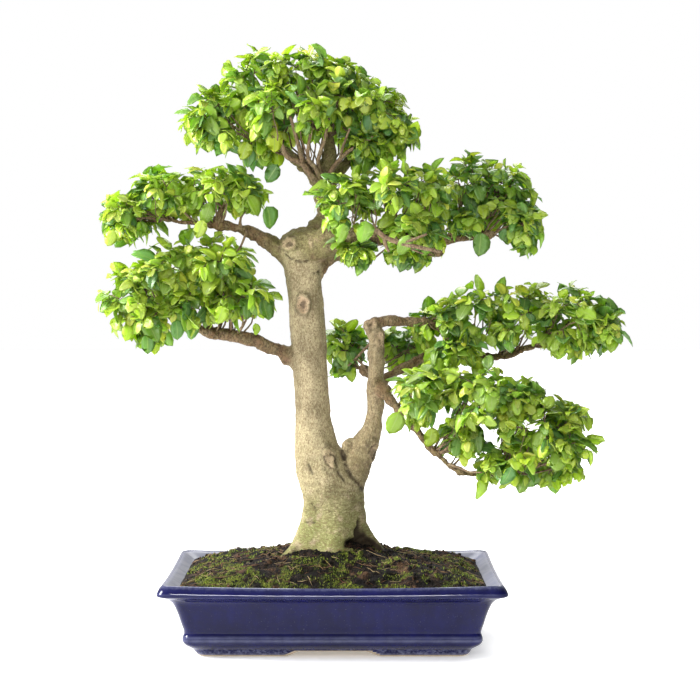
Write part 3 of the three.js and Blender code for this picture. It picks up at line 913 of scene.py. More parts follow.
@dataclass
class Soil:
    """The mound of soil, with clods, straw and moss on it.

    half and edge are half its width and its height where it meets the pot's wall, and wall is
    the same below that. trunk is the half sizes of the ground that the trunk stands on, and a
    moss spot is X, Y and how far it reaches.
    """

    pot: Pot
    seed: int = 7
    half: float = 180.6
    edge: float = 80.6
    peak: float = 105
    power: float = 2.6
    root_x: float = -4
    root_rise: float = 21
    root_reach: float = 62
    top: float = 119.5
    trunk: tuple = (54, 46)
    wall: tuple = ((160.6, 18.7), (163.6, 40), (167.6, 62))
    clods: int = 1500
    straws: int = 460
    sprigs: int = 7000
    moss_spots: tuple = (
        (-150, -95, 26), (-118, -108, 22), (-66, -104, 26), (-30, -92, 24), (10, -100, 20),
        (120, -98, 30), (150, -70, 26), (88, -112, 18), (40, -70, 20), (150, 40, 30), (-150, 30, 30),
        (-90, 90, 34), (30, 100, 34), (100, 70, 26), (-130, -60, 18), (62, -48, 16),
        (-44, -58, 15), (4, -62, 18), (34, -56, 14))
    straw_tones: tuple = (
        tone(142, 112, 78), tone(98, 62, 42), tone(112, 82, 56), tone(58, 44, 34), tone(168, 146, 106))
    moss_tones: tuple = (tone(92, 112, 34), tone(134, 156, 44), tone(54, 68, 26), tone(150, 158, 66))

    def height(self, places: np.ndarray) -> np.ndarray:
        """Height of the ground at places seen from above.

        The mound falls from its peak by a power of the share of the way to the pot's wall, rises
        in a bell round the trunk, and has fractal noise of three pitches, weaker by the wall.
        """
        share = np.maximum(np.abs(places[..., 0]) / self.half,
                           np.abs(places[..., 1]) / (self.half - self.pot.less_deep))
        mound = self.edge + (self.peak - self.edge) * (1 - np.minimum(share, 1) ** self.power)
        flat = flattened(places)
        away = np.hypot(places[..., 0] - self.root_x, places[..., 1])
        mound = np.minimum(mound + self.root_rise * bell(away, 0, self.root_reach), self.top)
        lumps = 2.2 * rough(flat, 26, 5) + 2.0 * rough(flat, 8, 9) + 1.2 * rough(flat, 3.4, 13, 2)
        return mound + lumps * (1 - 0.75 * ease(share, 0.86, 1.0)) - 1.2 * ease(share, 0.8, 1.0)

    def moss(self, places: np.ndarray) -> np.ndarray:
        """How mossy the ground is: the nearest spot's cone, roughened by noise, from 0 to 1."""
        spots = np.array(self.moss_spots, float)
        away = np.linalg.norm(places[..., None, :2] - spots[:, :2], axis=-1) / spots[:, 2]
        return np.clip(0.85 - 0.5 * away.min(axis=-1) + 1.5 * rough(flattened(places), 11, 31), 0, 1)

    def ground(self) -> Shape:
        """The soil as a closed body, from the pot's floor to its rough top."""
        half, z = np.array([*self.wall, (self.half, self.edge)], float).T
        wall = np.stack([half, half - self.pot.less_deep, np.full(len(half), self.pot.corner), z], axis=1)
        shares = np.linspace(1, 0.012, 84)[1:]
        top = wall[-1] * np.stack([shares, shares, shares, np.ones(len(shares))], axis=1)
        rings = self.pot.rings(np.vstack([wall, top]))
        edge = len(wall) - 1
        rings[edge:, :, 2] = self.height(rings[edge:])
        shape = capped_rings(
            rings, np.array([0.0, 0.0, z[0]]), np.array([0.0, 0.0, rings[-1, :, 2].mean()]))
        shape.tint = np.zeros((len(shape.points), 4))
        shape.tint[:, 0] = ease(self.moss(shape.points), 0.3, 0.9)
        shape.tint[:, 1] = 0.6 * ease(rough(shape.points, 12, 41), 0.0, 0.9)
        return shape

    def scatter(self, count: int, random: np.random.Generator) -> np.ndarray:
        """Places on the ground, clear of the trunk's foot and of the pot's wall."""
        half = np.array([self.half - 3, self.half - self.pot.less_deep - 3])
        flat = random.uniform(-1, 1, (count * 2, 2)) * half
        flat = flat[((flat / self.trunk) ** 2).sum(axis=1) > 1][:count]
        return np.column_stack([flat, self.height(flat)])

    def lumps(self, random: np.random.Generator) -> Shape:
        """Clods: balls of three rings of six, each point in or out by a quarter at random."""
        middles = self.scatter(self.clods, random)
        count = len(middles)
        size = random.gamma(1.5, 0.5, count) + 0.5
        rise, turn = np.array([-0.7, 0.0, 0.7])[:, None], np.arange(6) / 6 * 2 * math.pi
        across = np.sqrt(1 - rise**2)
        rings = np.stack([across * np.cos(turn), across * np.sin(turn), rise + 0 * turn], axis=-1)
        ball = np.vstack([rings.reshape(-1, 3), -UP, UP])
        each = ball * random.uniform(0.75, 1.25, (count, len(ball), 1)) * size[:, None, None]
        each = each * random.uniform(0.6, 1.1, (count, 1, 3)) + middles[:, None] + 0.2 * UP
        points, faces = repeated(each, capped_faces(*rings.shape[:2]))
        tint = np.zeros((len(points), 4))
        tint[:, 0] = 0.6 * ease(self.moss(points), 0.4, 1.0)
        tint[:, 1] = np.repeat(random.uniform(-0.8, 0.9, count), len(ball))
        return Shape(points, faces, tint=tint)

    def strands(self, random: np.random.Generator) -> Shape:
        """Straw and root fibres: thin bent tubes that lie on the ground."""
        middles = self.scatter(self.straws, random)
        count = len(middles)
        share = np.linspace(-0.5, 0.5, 5)
        turn = random.normal(0, 0.6, count)
        length = random.gamma(2.2, 4.2, count) + 5
        forward = np.stack([np.cos(turn), np.sin(turn), 0 * turn], axis=1)
        sideways = np.stack([-np.sin(turn), np.cos(turn), 0 * turn], axis=1)
        bend = random.normal(0, 0.25, count) * length
        paths = (middles[:, None] + forward[:, None] * (share * length[:, None])[..., None]
                 + sideways[:, None] * (bend[:, None] * (share**2 - 0.08))[..., None])
        half = np.array([self.half - 2, self.half - self.pot.less_deep - 2])
        paths[..., :2] = np.clip(paths[..., :2], -half, half)
        paths[..., 2] = self.height(paths) + 0.9 + random.uniform(0, 1.2, (count, 1))
        radii = random.uniform(0.22, 0.46, (count, 1)) * (1 - 0.6 * np.abs(share) * 2)
        shape = tubes(paths, radii, 4)
        pick = np.array(self.straw_tones)[random.integers(0, len(self.straw_tones), count)]
        shape.tint = np.repeat(pick, len(shape.points) // count, axis=0)
        return shape

    def tufts(self, random: np.random.Generator) -> Shape:
        """Moss: small leaning cones of three sides, thick where the ground is mossy."""
        places = self.scatter(self.sprigs * 3, random)
        keep = self.moss(places) > random.uniform(0.1, 1.0, len(places))
        feet = places[keep][: self.sprigs]
        count = len(feet)
        tall = random.uniform(1.0, 3.0, count)
        lean = random.normal(0, 0.35, (count, 3)) * [1, 1, 0] + UP
        turn = random.uniform(0, 2 * math.pi, (count, 1)) + np.arange(3) / 3 * 2 * math.pi
        ring = np.stack([np.cos(turn), np.sin(turn), 0 * turn], axis=-1) * 0.6
        base = feet[:, None] + ring - [0, 0, 0.8]
        tip = feet[:, None] + (unit(lean) * tall[:, None])[:, None]
        each = np.concatenate([base, tip], axis=1)
        points, faces = repeated(each, [np.array([[0, 1, 3], [1, 2, 3], [2, 0, 3], [0, 2, 1]])])
        pick = np.array(self.moss_tones)[random.integers(0, len(self.moss_tones), count)]
        pick = pick[:, :3] * random.uniform(0.35, 1.45, (count, 1))
        return Shape(points, faces, tint=np.repeat(np.column_stack([pick, np.ones(count)]), 4, axis=0))

    def build(self) -> None:
        """Makes the ground and what lies and grows on it."""
        random = np.random.default_rng(self.seed)
        earth = SoilFinish().material()
        settle(self.ground().build("soil_mound", earth), Slot.SOIL, "soil")
        settle(self.lumps(random).build("soil_clods", earth), Slot.SOIL)
        straw = StrandFinish("straw").material()
        settle(self.strands(random).build("soil_straw", straw), Slot.SOIL)
        moss = StrandFinish("moss", 0.9).material()
        settle(self.tufts(random).build("soil_moss", moss), Slot.SOIL)


# Wood


@dataclass
class Wood:
    """Both trunks and every limb, grown together into one skin with bark.

    A trunk row is a height, the left and right edges, and how deep the lobes are. Limbs, roots
    and knobs are rows of X, Y, Z and radius. A crack is its width and its line of X and Z. A
    wound is its X, Z, half sizes, lip, depth and paleness, a hollow its X, Z, half sizes and
    depth, and a foot edge row a height and the trunk's right edge.
    """

    voxel: float = 1.9
    step: float = 2.5
    trunk_sides: int = 72
    limb_sides: int = 20
    limb_seed: int = 50
    root_seed: int = 300
    front: float = -6
    trunk: tuple = (
        (84, -72, 62, 0.14), (100, -63, 55, 0.12), (110, -58, 50, 0.1), (120, -52, 45.5, 0.07),
        (136, -45, 40.5, 0.05), (154, -39.5, 38.5, 0.035), (172, -37.5, 37, 0.025), (192, -42.5, 35.5, 0.02),
        (210, -46.5, 27, 0.02), (228, -48, 15, 0.01), (246, -47.5, 3, 0.01), (281, -46, -3.5, 0),
        (306, -47.5, -6, 0), (354, -50.5, -8, 0), (415, -55.5, -12.5, 0), (452, -60, -15, 0),
        (470, -64, -12.5, 0), (484, -64, -3, 0), (494, -58, 2, 0), (501, -48, -8, 0))
    depth: float = 0.95
    lobes: int = 5
    lobe_turn: float = 0.4
    limbs: dict = field(default_factory=lambda: {
        "second_trunk": (
            (22, -6, 190, 16), (31, -8, 222, 20), (39.5, -8, 244, 15.5), (46, -8, 259, 11.6),
            (50, -8, 282, 11.2), (51.5, -8, 330, 9.7), (50.5, -8, 360, 9.6), (49, -8, 378, 10.4)),
        "second_top": (
            (46, -8, 376, 7), (51, -8, 386, 6.4), (64, -7, 390.5, 5.6), (84, -3, 389.5, 5.2),
            (107, 0, 386.5, 4.8), (124, 6, 383, 4.4)),
        "left_lower": (
            (-38, -2, 343, 10), (-55, -4, 350, 8.8), (-76, -4, 358, 7.8), (-94, -4, 365, 7.2),
            (-123, -4, 372.5, 6.9), (-141, -4, 374, 7.3), (-152, -4, 375, 6.6), (-163, -4, 380, 4.6),
            (-176, -4, 388, 3.5), (-190, -3, 395, 2.9)),
        "left_upper": (
            (-42, 0, 460, 17), (-61, 0, 471, 12.5), (-80, 0, 486, 9.4), (-95, 0, 494.5, 8),
            (-113, 0, 502, 6.6), (-138, 0, 507, 5), (-162, 2, 509, 3.6), (-186, 2, 510, 2.8),
            (-205, 1, 514, 2.5)),
        "left_fork": ((-142, 0, 508, 4.6), (-138, -2, 518, 4), (-134, -2, 528, 3.4), (-127, -2, 538, 2.8)),
        "right_upper_front": (
            (-34, -6, 478, 22), (-6, -24, 485, 18), (14, -38, 487, 14), (32, -48, 490.5, 11.5),
            (56, -52, 492, 9.6), (76, -57, 495, 7.5)),
        "cut_stub": ((66, -54, 492, 7), (100, -60, 479, 5.4), (127, -62, 471.5, 4.6)),
        "right_upper_back": (
            (-28, 4, 480, 20), (10, 10, 487, 12), (40, 13, 490, 9), (81, 15, 490.5, 7.6),
            (131, 15, 488.5, 6.4), (167, 15, 493, 5.6), (196, 15, 495.5, 4.6)),
        "elbow": ((-36, 8, 420, 6), (-22, 13, 437, 6), (-15, 14, 450, 6.5), (-5, 12, 467, 8.5),
                  (2, 8, 483, 10)),
        "broken_stub": ((2, 6, 477, 8), (13, 8, 466, 5), (25, 10, 458, 2.6)),
        "apex": ((-24, 0, 480, 27), (-10, 1, 504, 18), (-6, 1, 524, 14.5), (-11, 0, 548, 13),
                 (-12, 0, 566, 11)),
        "crown_left": ((-12, -2, 548, 9), (-28, -8, 568, 6.8), (-45, -12, 583, 6), (-66, -8, 600, 5.2)),
        "crown_right": ((-10, 2, 552, 9), (14, 5, 579, 7), (28, 6, 597, 6)),
        "crown_middle": ((-12, 0, 560, 10.5), (-6, 0, 585, 8), (-5, 3, 612, 6.4)),
        "right_middle": (
            (50, -2, 302, 9), (62, 5, 317.5, 7), (73, 15, 324.5, 6.2), (92, 26, 334, 5.6),
            (107, 35, 343, 5.2), (132, 40, 350, 5), (165, 38, 346, 4.8), (199, 30, 344, 4.6),
            (223, 20, 352, 4.2), (246, 11, 359, 3.8)),
        "right_lower": (
            (51, -9, 317, 8.5), (59, -22, 306, 6.8), (71, -31, 293, 5.8), (91, -44, 269, 5),
            (110, -55, 246, 4.4), (127, -60, 231, 4), (138, -60, 219, 3.4), (158, -62, 211, 2.8),
            (186, -64, 209, 2.5), (207, -66, 209, 2.4)),
        "back_left": ((50, -2, 300, 8.5), (50, 24, 318, 7), (36, 50, 329, 6)),
    })
    roots: tuple = (
        ((-30, -18, 128, 13), (-48, -28, 112, 9), (-66, -38, 98, 6)),
        ((34, -6, 134, 11), (48, -8, 118, 8), (58, -10, 107, 6), (68, -13, 94, 4)),
        ((28, 24, 130, 12), (44, 40, 112, 8), (60, 54, 96, 6)),
        ((-24, 28, 130, 12), (-40, 44, 110, 8), (-54, 60, 94, 6)),
        ((14, -34, 110, 9), (24, -47, 103, 6.5), (33, -54, 96, 5), (42, -58, 88, 4)))
    knobs: tuple = (
        (-55, -8, 478, 8), (-44, -14, 484, 7), (19, -14, 238, 9.5), (28, -17, 228, 8),
        (-2, -30, 480, 10), (43, -12, 383, 7), (50, -10, 386, 7), (57, -10, 372, 6),
        (8, 12, 474, 8), (-43, -4, 341, 12), (-57, -4, 346, 10), (54, -14, 312, 10), (62, -22, 304, 8))
    cracks: tuple = (
        (2.2, ((-30, 218), (-27.5, 213.5), (-27, 210), (-24, 205.5))),
        (1.8, ((-5, 236), (-2.6, 231), (2.6, 225.5), (3.4, 220), (5.4, 214))),
        (1.6, ((-11, 227), (-9, 221), (-6, 217), (-1.5, 213.5))),
        (2.0, ((5.8, 211.3), (7, 206), (11, 202), (14.2, 196))),
        (3.6, ((9, 234), (12.5, 226), (14.2, 219), (20, 206), (28, 195), (36, 185))),
        (2.0, ((49.5, 240), (46.5, 236), (43, 231))),
        (2.1, ((54, 236), (52.5, 230), (50, 223), (46, 216))),
        (1.5, ((-58, 470), (-52, 465.5), (-49, 464))),
        (2.4, ((-45, 461.5), (-40, 462.5), (-35, 461), (-30, 462))),
        (1.4, ((-24, 446), (-17, 449), (-13, 448), (-8, 451))),
        (1.3, ((-33, 146), (-28, 148.5), (-22, 147))),
        (1.3, ((-26, 170), (-23, 166), (-21, 162))))
    wounds: tuple = (
        (-36.5, 409, 6.5, 11, 4.2, 3.4, 0.85), (48, 229, 5.5, 15, 1.4, 2.2, 0.5),
        (56, 368, 4.6, 12, 0.8, 1.2, 0.7),
        (-53, 483, 7.5, 7, 2.2, 3.0, 0.5), (45, 386, 7, 5, 1.0, 2.6, 0.3), (-5, 224, 7, 12, 0.2, 0.6, 0.5))
    hollows: tuple = (
        (31, 143, 2.8, 8, 4), (29, 134, 4, 8, 7), (22, 124, 9, 6, 9), (32, 123, 9, 10, 12),
        (43, 118, 10, 7, 9), (-14, 447, 5, 6, 2))
    foot_edge: tuple = ((112, 66), (119, 58.8), (122.7, 54.5), (131, 43.5), (138, 41), (151, 39))

    def paths(self) -> dict[str, np.ndarray]:
        """Every limb as a smooth run of X, Y, Z and radius."""
        return {name: smooth_run(rows, self.step) for name, rows in self.limbs.items()}

    def trunk_shape(self) -> Shape:
        """The main trunk: rings between its left and right edges, lobed at the foot by its roots.

        The radius is half the width times one plus the lobe's depth times the cosine of five
        times the angle, and the depth from front to back is a little less than the width.
        """
        rows = smooth_run([(left, right, z, lobe) for z, left, right, lobe in self.trunk], 3.0)
        left, right, z, lobe = rows.T
        angle = np.arange(self.trunk_sides) / self.trunk_sides * 2 * math.pi
        lobed = 1 + lobe[:, None] * np.cos(self.lobes * angle + self.lobe_turn)
        radius = ((right - left) / 2)[:, None] * lobed
        rings = np.stack([
            ((left + right) / 2)[:, None] + radius * np.cos(angle),
            self.depth * radius * np.sin(angle), np.broadcast_to(z[:, None], radius.shape)], axis=-1)
        return capped_rings(rings, rings[0].mean(axis=0), rings[-1].mean(axis=0) + [0, 0, 3])

    def limb_shape(self, rows: np.ndarray, seed: int) -> Shape:
        """One limb as a tube whose line and radius wander by noise, more where it is thin."""
        path = rows[:, :3].copy()
        wander = np.stack([lattice_noise(rows[:, :3], 26, seed + axis) for axis in range(3)], axis=1)
        fade = ease(np.arange(len(rows)), 0, 8)[:, None]
        path += wander * fade * np.clip(rows[:, 3:4] * 0.22, 0.8, 2.0)
        swell = 1 + 0.16 * lattice_noise(rows[:, :3], 13, seed + 7) * fade[:, 0]
        return tubes(path[None], (rows[:, 3] * swell)[None], self.limb_sides)

    def knob_shape(self) -> Shape:
        """Burls: short fat tubes that the skin then grows over."""
        knobs = np.array(self.knobs, float)
        share = np.linspace(-0.8, 0.8, 7)
        paths = knobs[:, None, :3] + share[:, None] * np.array([0.25, 0, 1.0]) * knobs[:, 3, None, None]
        radii = knobs[:, 3:4] * np.sqrt(1 - share**2)
        return tubes(paths, radii, 12)

    def grown(self, material: bpy.types.Material) -> bpy.types.Object:
        """Every part joined and remade as one even skin, then smoothed."""
        shapes = [self.trunk_shape(), self.knob_shape()]
        roots = [smooth_run(rows, 3.0) for rows in self.roots]
        for seed, runs in ((self.limb_seed, self.paths().values()), (self.root_seed, roots)):
            shapes += [self.limb_shape(rows, seed + 10 * i) for i, rows in enumerate(runs)]
        piece = Shape.join(shapes).build("wood_skin", material)
        remesh = piece.modifiers.new("skin", "REMESH")
        remesh.mode, remesh.voxel_size, remesh.use_smooth_shade = "VOXEL", self.voxel / 1000, True
        even = piece.modifiers.new("even", "SMOOTH")
        even.factor, even.iterations = 0.5, 5
        apply_modifiers(piece)
        return piece

    def groove(self, points: np.ndarray) -> np.ndarray:
        """How deep in a crack each point is: one at a crack's line and none at its width from it."""
        deepest = np.zeros(len(points))
        front = np.flatnonzero(points[:, 1] < self.front)
        for order, (width, line) in enumerate(self.cracks):
            run = smooth_run([(x, 0, z) for x, z in line], 0.8)[:, [0, 2]]
            place = np.column_stack([run, np.full(len(run), 9.0 * order)])
            run = run + 0.9 * np.stack([lattice_noise(place, 3, 3 + i) for i in range(2)], axis=1)
            spot = points[front]
            near = front[(np.abs(spot[:, [0, 2]] - run.mean(axis=0)) < 26).all(axis=1)]
            away = np.linalg.norm(points[near][:, None, [0, 2]] - run, axis=2).min(axis=1)
            deepest[near] = np.maximum(deepest[near], ease(away, width, 0.1 * width))
        return deepest * ease(lattice_noise(points, 4, 17), -0.9, -0.2)

    def wound(self, points: np.ndarray) -> tuple[np.ndarray, np.ndarray, np.ndarray]:
        """Healed wounds on the front: an oval lip round ragged bare wood.

        With q the distance from a wound's middle over its half sizes, the lip is a bell round
        q of one, and the bare wood is a smoothstep inside it, broken up by noise.

        Returns:
            How far each point is pushed in, how bare it is, and how dark, which is painted shade in its
            sunken middle and in a ring round its lip.
        """
        push, bare, dark = (np.zeros(len(points)) for _ in range(3))
        ragged, front = rough(points, 4.5, 61), points[:, 1] < self.front
        for x, z, half_x, half_z, lip, depth, pale in self.wounds:
            q = np.hypot((points[:, 0] - x) / half_x, (points[:, 2] - z) / half_z) + 0.3 * ragged
            push += front * (depth * ease(q, 0.9, 0.3) - lip * bell(q, 1.05, 0.32)
                             + 2.2 * ragged * ease(q, 1.2, 0.6))
            bare = np.maximum(bare, front * pale * ease(q, 1.1, 0.75))
            # Painted shade: darker in the sunken middle, the more the deeper it is, and in a ring round the
            # lip.
            pit_shade = 0.85 * ease(q, 0.6, 0.25) * min(1.0, depth / 4)
            dark = np.maximum(dark, front * np.maximum(0.4 * bell(q, 1.35, 0.2), pit_shade))
        return push, bare, dark

    def hollow(self, points: np.ndarray) -> tuple[np.ndarray, np.ndarray]:
        """Hollows on the front, such as the one between the roots.

        Returns:
            How far each point is pushed in, and how dark it is, which is painted shade in the hollow.
        """
        push, dark = np.zeros(len(points)), np.zeros(len(points))
        ragged, front = rough(points, 4, 107), ease(points[:, 1], -4, -14)
        for x, z, half_x, half_z, depth in self.hollows:
            q = np.hypot((points[:, 0] - x) / half_x, (points[:, 2] - z) / half_z) + 0.2 * ragged
            near = front * ease(q, 1.2, 0.4)
            push += near * depth
            # Painted shade: each hollow is darkened as well as sunk.
            dark = np.maximum(dark, near)
        return push, dark

    def limb_share(self, points: np.ndarray) -> np.ndarray:
        """How much of a limb each point is, from 0 on the trunk to 1 on a limb.

        It rises by smoothstep as the limbs' surface gets nearer than the trunk's, and is less
        where the second trunk is the nearest limb.
        """
        x, y, z = points.T
        level, left, right, _ = np.array(self.trunk).T
        middle, half = np.interp(z, level, (left + right) / 2), np.interp(z, level, (right - left) / 2)
        trunk = np.hypot(x - middle, y / self.depth) - half + 30 * ease(z, 470, 500)
        reach = {name: (np.linalg.norm(points[:, None] - rows[::2, :3], axis=2) - rows[::2, 3]).min(axis=1)
                 for name, rows in self.paths().items()}
        second = reach.pop("second_trunk")
        others = np.minimum.reduce(list(reach.values()))
        owner = 0.4 + 0.6 * ease(second - others, -3.0, 5.0)
        return ease(trunk - np.minimum(second, others), -2.0, 9.0) * owner

    def relief(self, points: np.ndarray, limb: np.ndarray) -> np.ndarray:
        """How far the bark stands out.

        It is the sum of lumps and burls by noise, stronger on the limbs, plates at the foot, and
        level wrinkles at the waist: a sine of the height, shifted by noise.
        """
        z = points[:, 2]
        lumps = (0.8 + 0.4 * limb) * rough(points, 17, 90) + (0.35 + 0.75 * limb) * rough(points, 5, 95)
        burls = (0.25 + 1.9 * limb) * ease(lattice_noise(points, 10, 97), 0.25, 0.8)
        plates = 0.4 * ease(z, 205, 130) * rough(points * [1, 1, 0.6], 8, 99)
        wave = np.sin(z * 0.62 + 4.0 * lattice_noise(points, 24, 77))
        waist = ease(z, 138, 160) * ease(z, 224, 196) * (1 - limb)
        return lumps + burls + plates + 0.4 * waist * wave * ease(lattice_noise(points, 16, 78), -0.4, 0.3)

    def soil_stain_and_painted_shade(self, points: np.ndarray) -> np.ndarray:
        """How dark the foot is: painted shade between the roots and on its right, and dirt low down by the
        soil.
        """
        x, y, z = points.T
        edge = np.interp(z, *np.array(self.foot_edge).T)
        # Painted shade between the roots and on the right of the foot; soiled is dirt.
        painted_gap_shade = ease(x, 25, 31) * ease(z, 146, 130) * ease(edge - x, 1, 7) * ease(y, -4, -14)
        soiled = ease(z, 122, 110) * ease(rough(points, 9, 103), -0.8, 0.4)
        return 0.9 * painted_gap_shade + 0.3 * ease(x, 30, 40) * ease(z, 150, 136) + 0.55 * soiled

    def carve(self, points: np.ndarray, normals: np.ndarray) -> tuple[np.ndarray, np.ndarray]:
        """Moves the skin to bark: relief by noise, cracks, wounds and hollows.

        It is greenest at the foot, and greener on the trunk's head and on the right root.

        Args:
            points: The skin's points.
            normals: Its outward directions.

        Returns:
            The moved points, and their tint of green, brown, dark and scar. Dark is painted shade in the
            cracks, wounds, hollows and about the foot, with dirt from the soil.
        """
        x, _, z = points.T
        limb, crack = self.limb_share(points), self.groove(points)
        cut, scar, cut_painted_shade = self.wound(points)
        sunk, sunk_painted_shade = self.hollow(points)
        out = self.relief(points, limb) - 1.6 * crack - cut - sunk
        # Painted shade: cracks, wounds, hollows and parts of the foot are darkened, and dirt is added by the
        # soil.
        dark = 0.95 * crack + np.maximum(cut_painted_shade, sunk_painted_shade) + self.soil_stain_and_painted_shade(points)
        head = ease(z, 450, 476) * ease(np.abs(x + 26), 64, 40)
        brown = limb * (1 - 0.4 * head)
        foot = 0.8 * ease(z, 205, 130) + 0.26 * ease(z, 300, 190) + 0.3 * ease(z, 134, 112)
        ridge = ease(x, 28, 36) * ease(z, 153, 140)
        green = foot + 0.5 * head + 0.2 * brown + 0.4 * ridge
        tint = np.stack([np.clip(green, 0, 1), brown, np.clip(dark, 0, 1), scar], axis=1)
        return points + normals * out[:, None], tint

    def build(self) -> None:
        """Makes the wood and gives it its bark."""
        piece = self.grown(BarkFinish().material())
        mesh = piece.data
        count = len(mesh.vertices)
        flat, normals = np.empty(count * 3, np.float32), np.empty(count * 3, np.float32)
        mesh.vertices.foreach_get("co", flat)
        mesh.vertices.foreach_get("normal", normals)
        points = from_row(flat.reshape(-1, 3).astype(float))
        moved, tint = self.carve(points, normals.reshape(-1, 3).astype(float))
        mesh.vertices.foreach_set("co", to_row(moved).astype(np.float32).ravel())
        set_tint(mesh, tint)
        mesh.update()
        settle(piece, Slot.BARK, "wood")


# Foliage


@dataclass
class Leaves:
    """A batch of leaves: one row of each array for a leaf."""

    root: np.ndarray
    along: np.ndarray
    face: np.ndarray
    length: np.ndarray
    age: np.ndarray

    @staticmethod
    def join(batches: Sequence["Leaves"]) -> "Leaves":
        """All the batches as one."""
        names = ("root", "along", "face", "length", "age")
        return Leaves(*[np.concatenate([getattr(batch, name) for batch in batches]) for name in names])


@dataclass
class Blade:
    """A leaf: a broad oval with a pointed tip, folded along its midrib and arched.

    widths, folds and waves are the least and the most that a leaf gets, and arch, light and
    warmth are a mean and a spread.
    """

    stations: tuple = (0.04, 0.17, 0.4, 0.66, 0.88)
    widths: tuple = (0.62, 0.86)
    folds: tuple = (0.0, 0.6)
    waves: tuple = (0.0, 0.1)
    arch: tuple = (0.42, 0.2)
    light: tuple = (0.03, 0.17)
    warmth: tuple = (0.0, 0.055)
    across: tuple = (1, 0.5, 0, -0.5, -1, 0)
    lift: tuple = (0, 1.4, 0.8, 1.4, 0, -1)
    stalk: float = 0.075
    stalk_half: float = 0.022
    thickness: float = 0.4
    young: tuple = tone(212, 227, 104)
    grown: tuple = tone(200, 226, 76)
    old: tuple = tone(118, 164, 88)

    def half_width(self, along: np.ndarray) -> np.ndarray:
        """Half the blade's width over its whole width.

        It grows as the power 0.5 of the way along the blade and falls as the power 0.64 of
        what is left, and is a narrow stalk before the blade starts.
        """
        share = np.clip((along - self.stalk) / (1 - self.stalk), 0, 1)
        return np.maximum(1.09 * share**0.5 * (1 - share) ** 0.64, self.stalk_half * (along < 0.5))

    def shape(self, leaves: Leaves, random: np.random.Generator) -> Shape:
        """Every leaf of a batch.

        Across a blade each ring has its two edges, the midrib, a raised point half way to each
        edge, and one point below. The blade is lifted by the fold times the way out from the
        midrib, lowered by the arch times the square of the way along, and waved along its edge
        by a sine.

        Args:
            leaves: The batch.
            random: Where each leaf's own bend comes from.

        Returns:
            The leaves, with uv across and along, and each leaf's colour as its tint.
        """
        count = len(leaves.length)
        along = np.array(self.stations)
        sides = len(self.across)
        length = leaves.length[:, None]
        width = length * random.uniform(*self.widths, count)[:, None]
        u = np.concatenate([np.tile(self.across, len(along)), [0, 0]])
        v = np.concatenate([np.repeat(along, sides), [0, 1]])
        lift = np.concatenate([np.tile(self.lift, len(along)), [0, 0]])
        fold = random.uniform(*self.folds, (count, 1))
        arch = random.normal(*self.arch, (count, 1))
        wave = random.uniform(*self.waves, (count, 1))
        turn = random.uniform(0, 6.28, (count, 1))
        x = u * self.half_width(v) * width
        y = length * (v - 0.12 * arch * v**2)
        z = (fold * np.abs(x) - arch * length * v**2 + lift * self.thickness / 2
             + wave * length * np.abs(u) * np.sin(9 * v + turn))
        forward = unit(leaves.along)
        right = unit(np.cross(forward, leaves.face))
        upward = np.cross(right, forward)
        each = (leaves.root[:, None] + x[..., None] * right[:, None] + y[..., None] * forward[:, None]
                + z[..., None] * upward[:, None])
        points, faces = repeated(each, capped_faces(len(along), sides))
        return Shape(points, faces, np.tile(np.stack([u, v], axis=1), (count, 1)),
                     np.repeat(self.colours(leaves.age, random), each.shape[1], axis=0))

    def colours(self, age: np.ndarray, random: np.random.Generator) -> np.ndarray:
        """Each leaf's colour: young to grown to old by its age, with its own light and warmth."""
        young, grown, old = (np.array(colour) for colour in (self.young, self.grown, self.old))
        first, second = np.clip(age * 2, 0, 1)[:, None], np.clip(age * 2 - 1, 0, 1)[:, None]
        colour = young * (1 - first) + grown * first
        colour = colour * (1 - second) + old * second
        light = random.lognormal(*self.light, (len(age), 1))
        warmth = random.normal(*self.warmth, (len(age), 1)) * np.array([1.0, 0.0, -0.8, 0.0])
        return np.clip(colour * light * (1 + warmth), 0.004, 0.9) * [1, 1, 1, 0] + [0, 0, 0, 1]


@dataclass
class Clump:
    """A ball of leaves: its middle, its half sizes out to the leaf tips, and where it grows from."""

    middle: tuple[float, float, float]
    half: tuple[float, float, float]
    start: tuple[float, float, float]
    boughs: int = 8

    def inside(self, points: np.ndarray, inset: float) -> np.ndarray:
        """How deep points are in the clump: 0 at its middle, 1 on its surface less an inset."""
        return np.linalg.norm((points - self.middle) / (np.array(self.half) - inset), axis=-1)


@dataclass
class Stray:
    """A single leaf that hangs clear of its pad, leaning to one side as it hangs."""

    place: tuple[float, float, float]
    length: float
    vigour: Vigour
    lean: float = 0.0


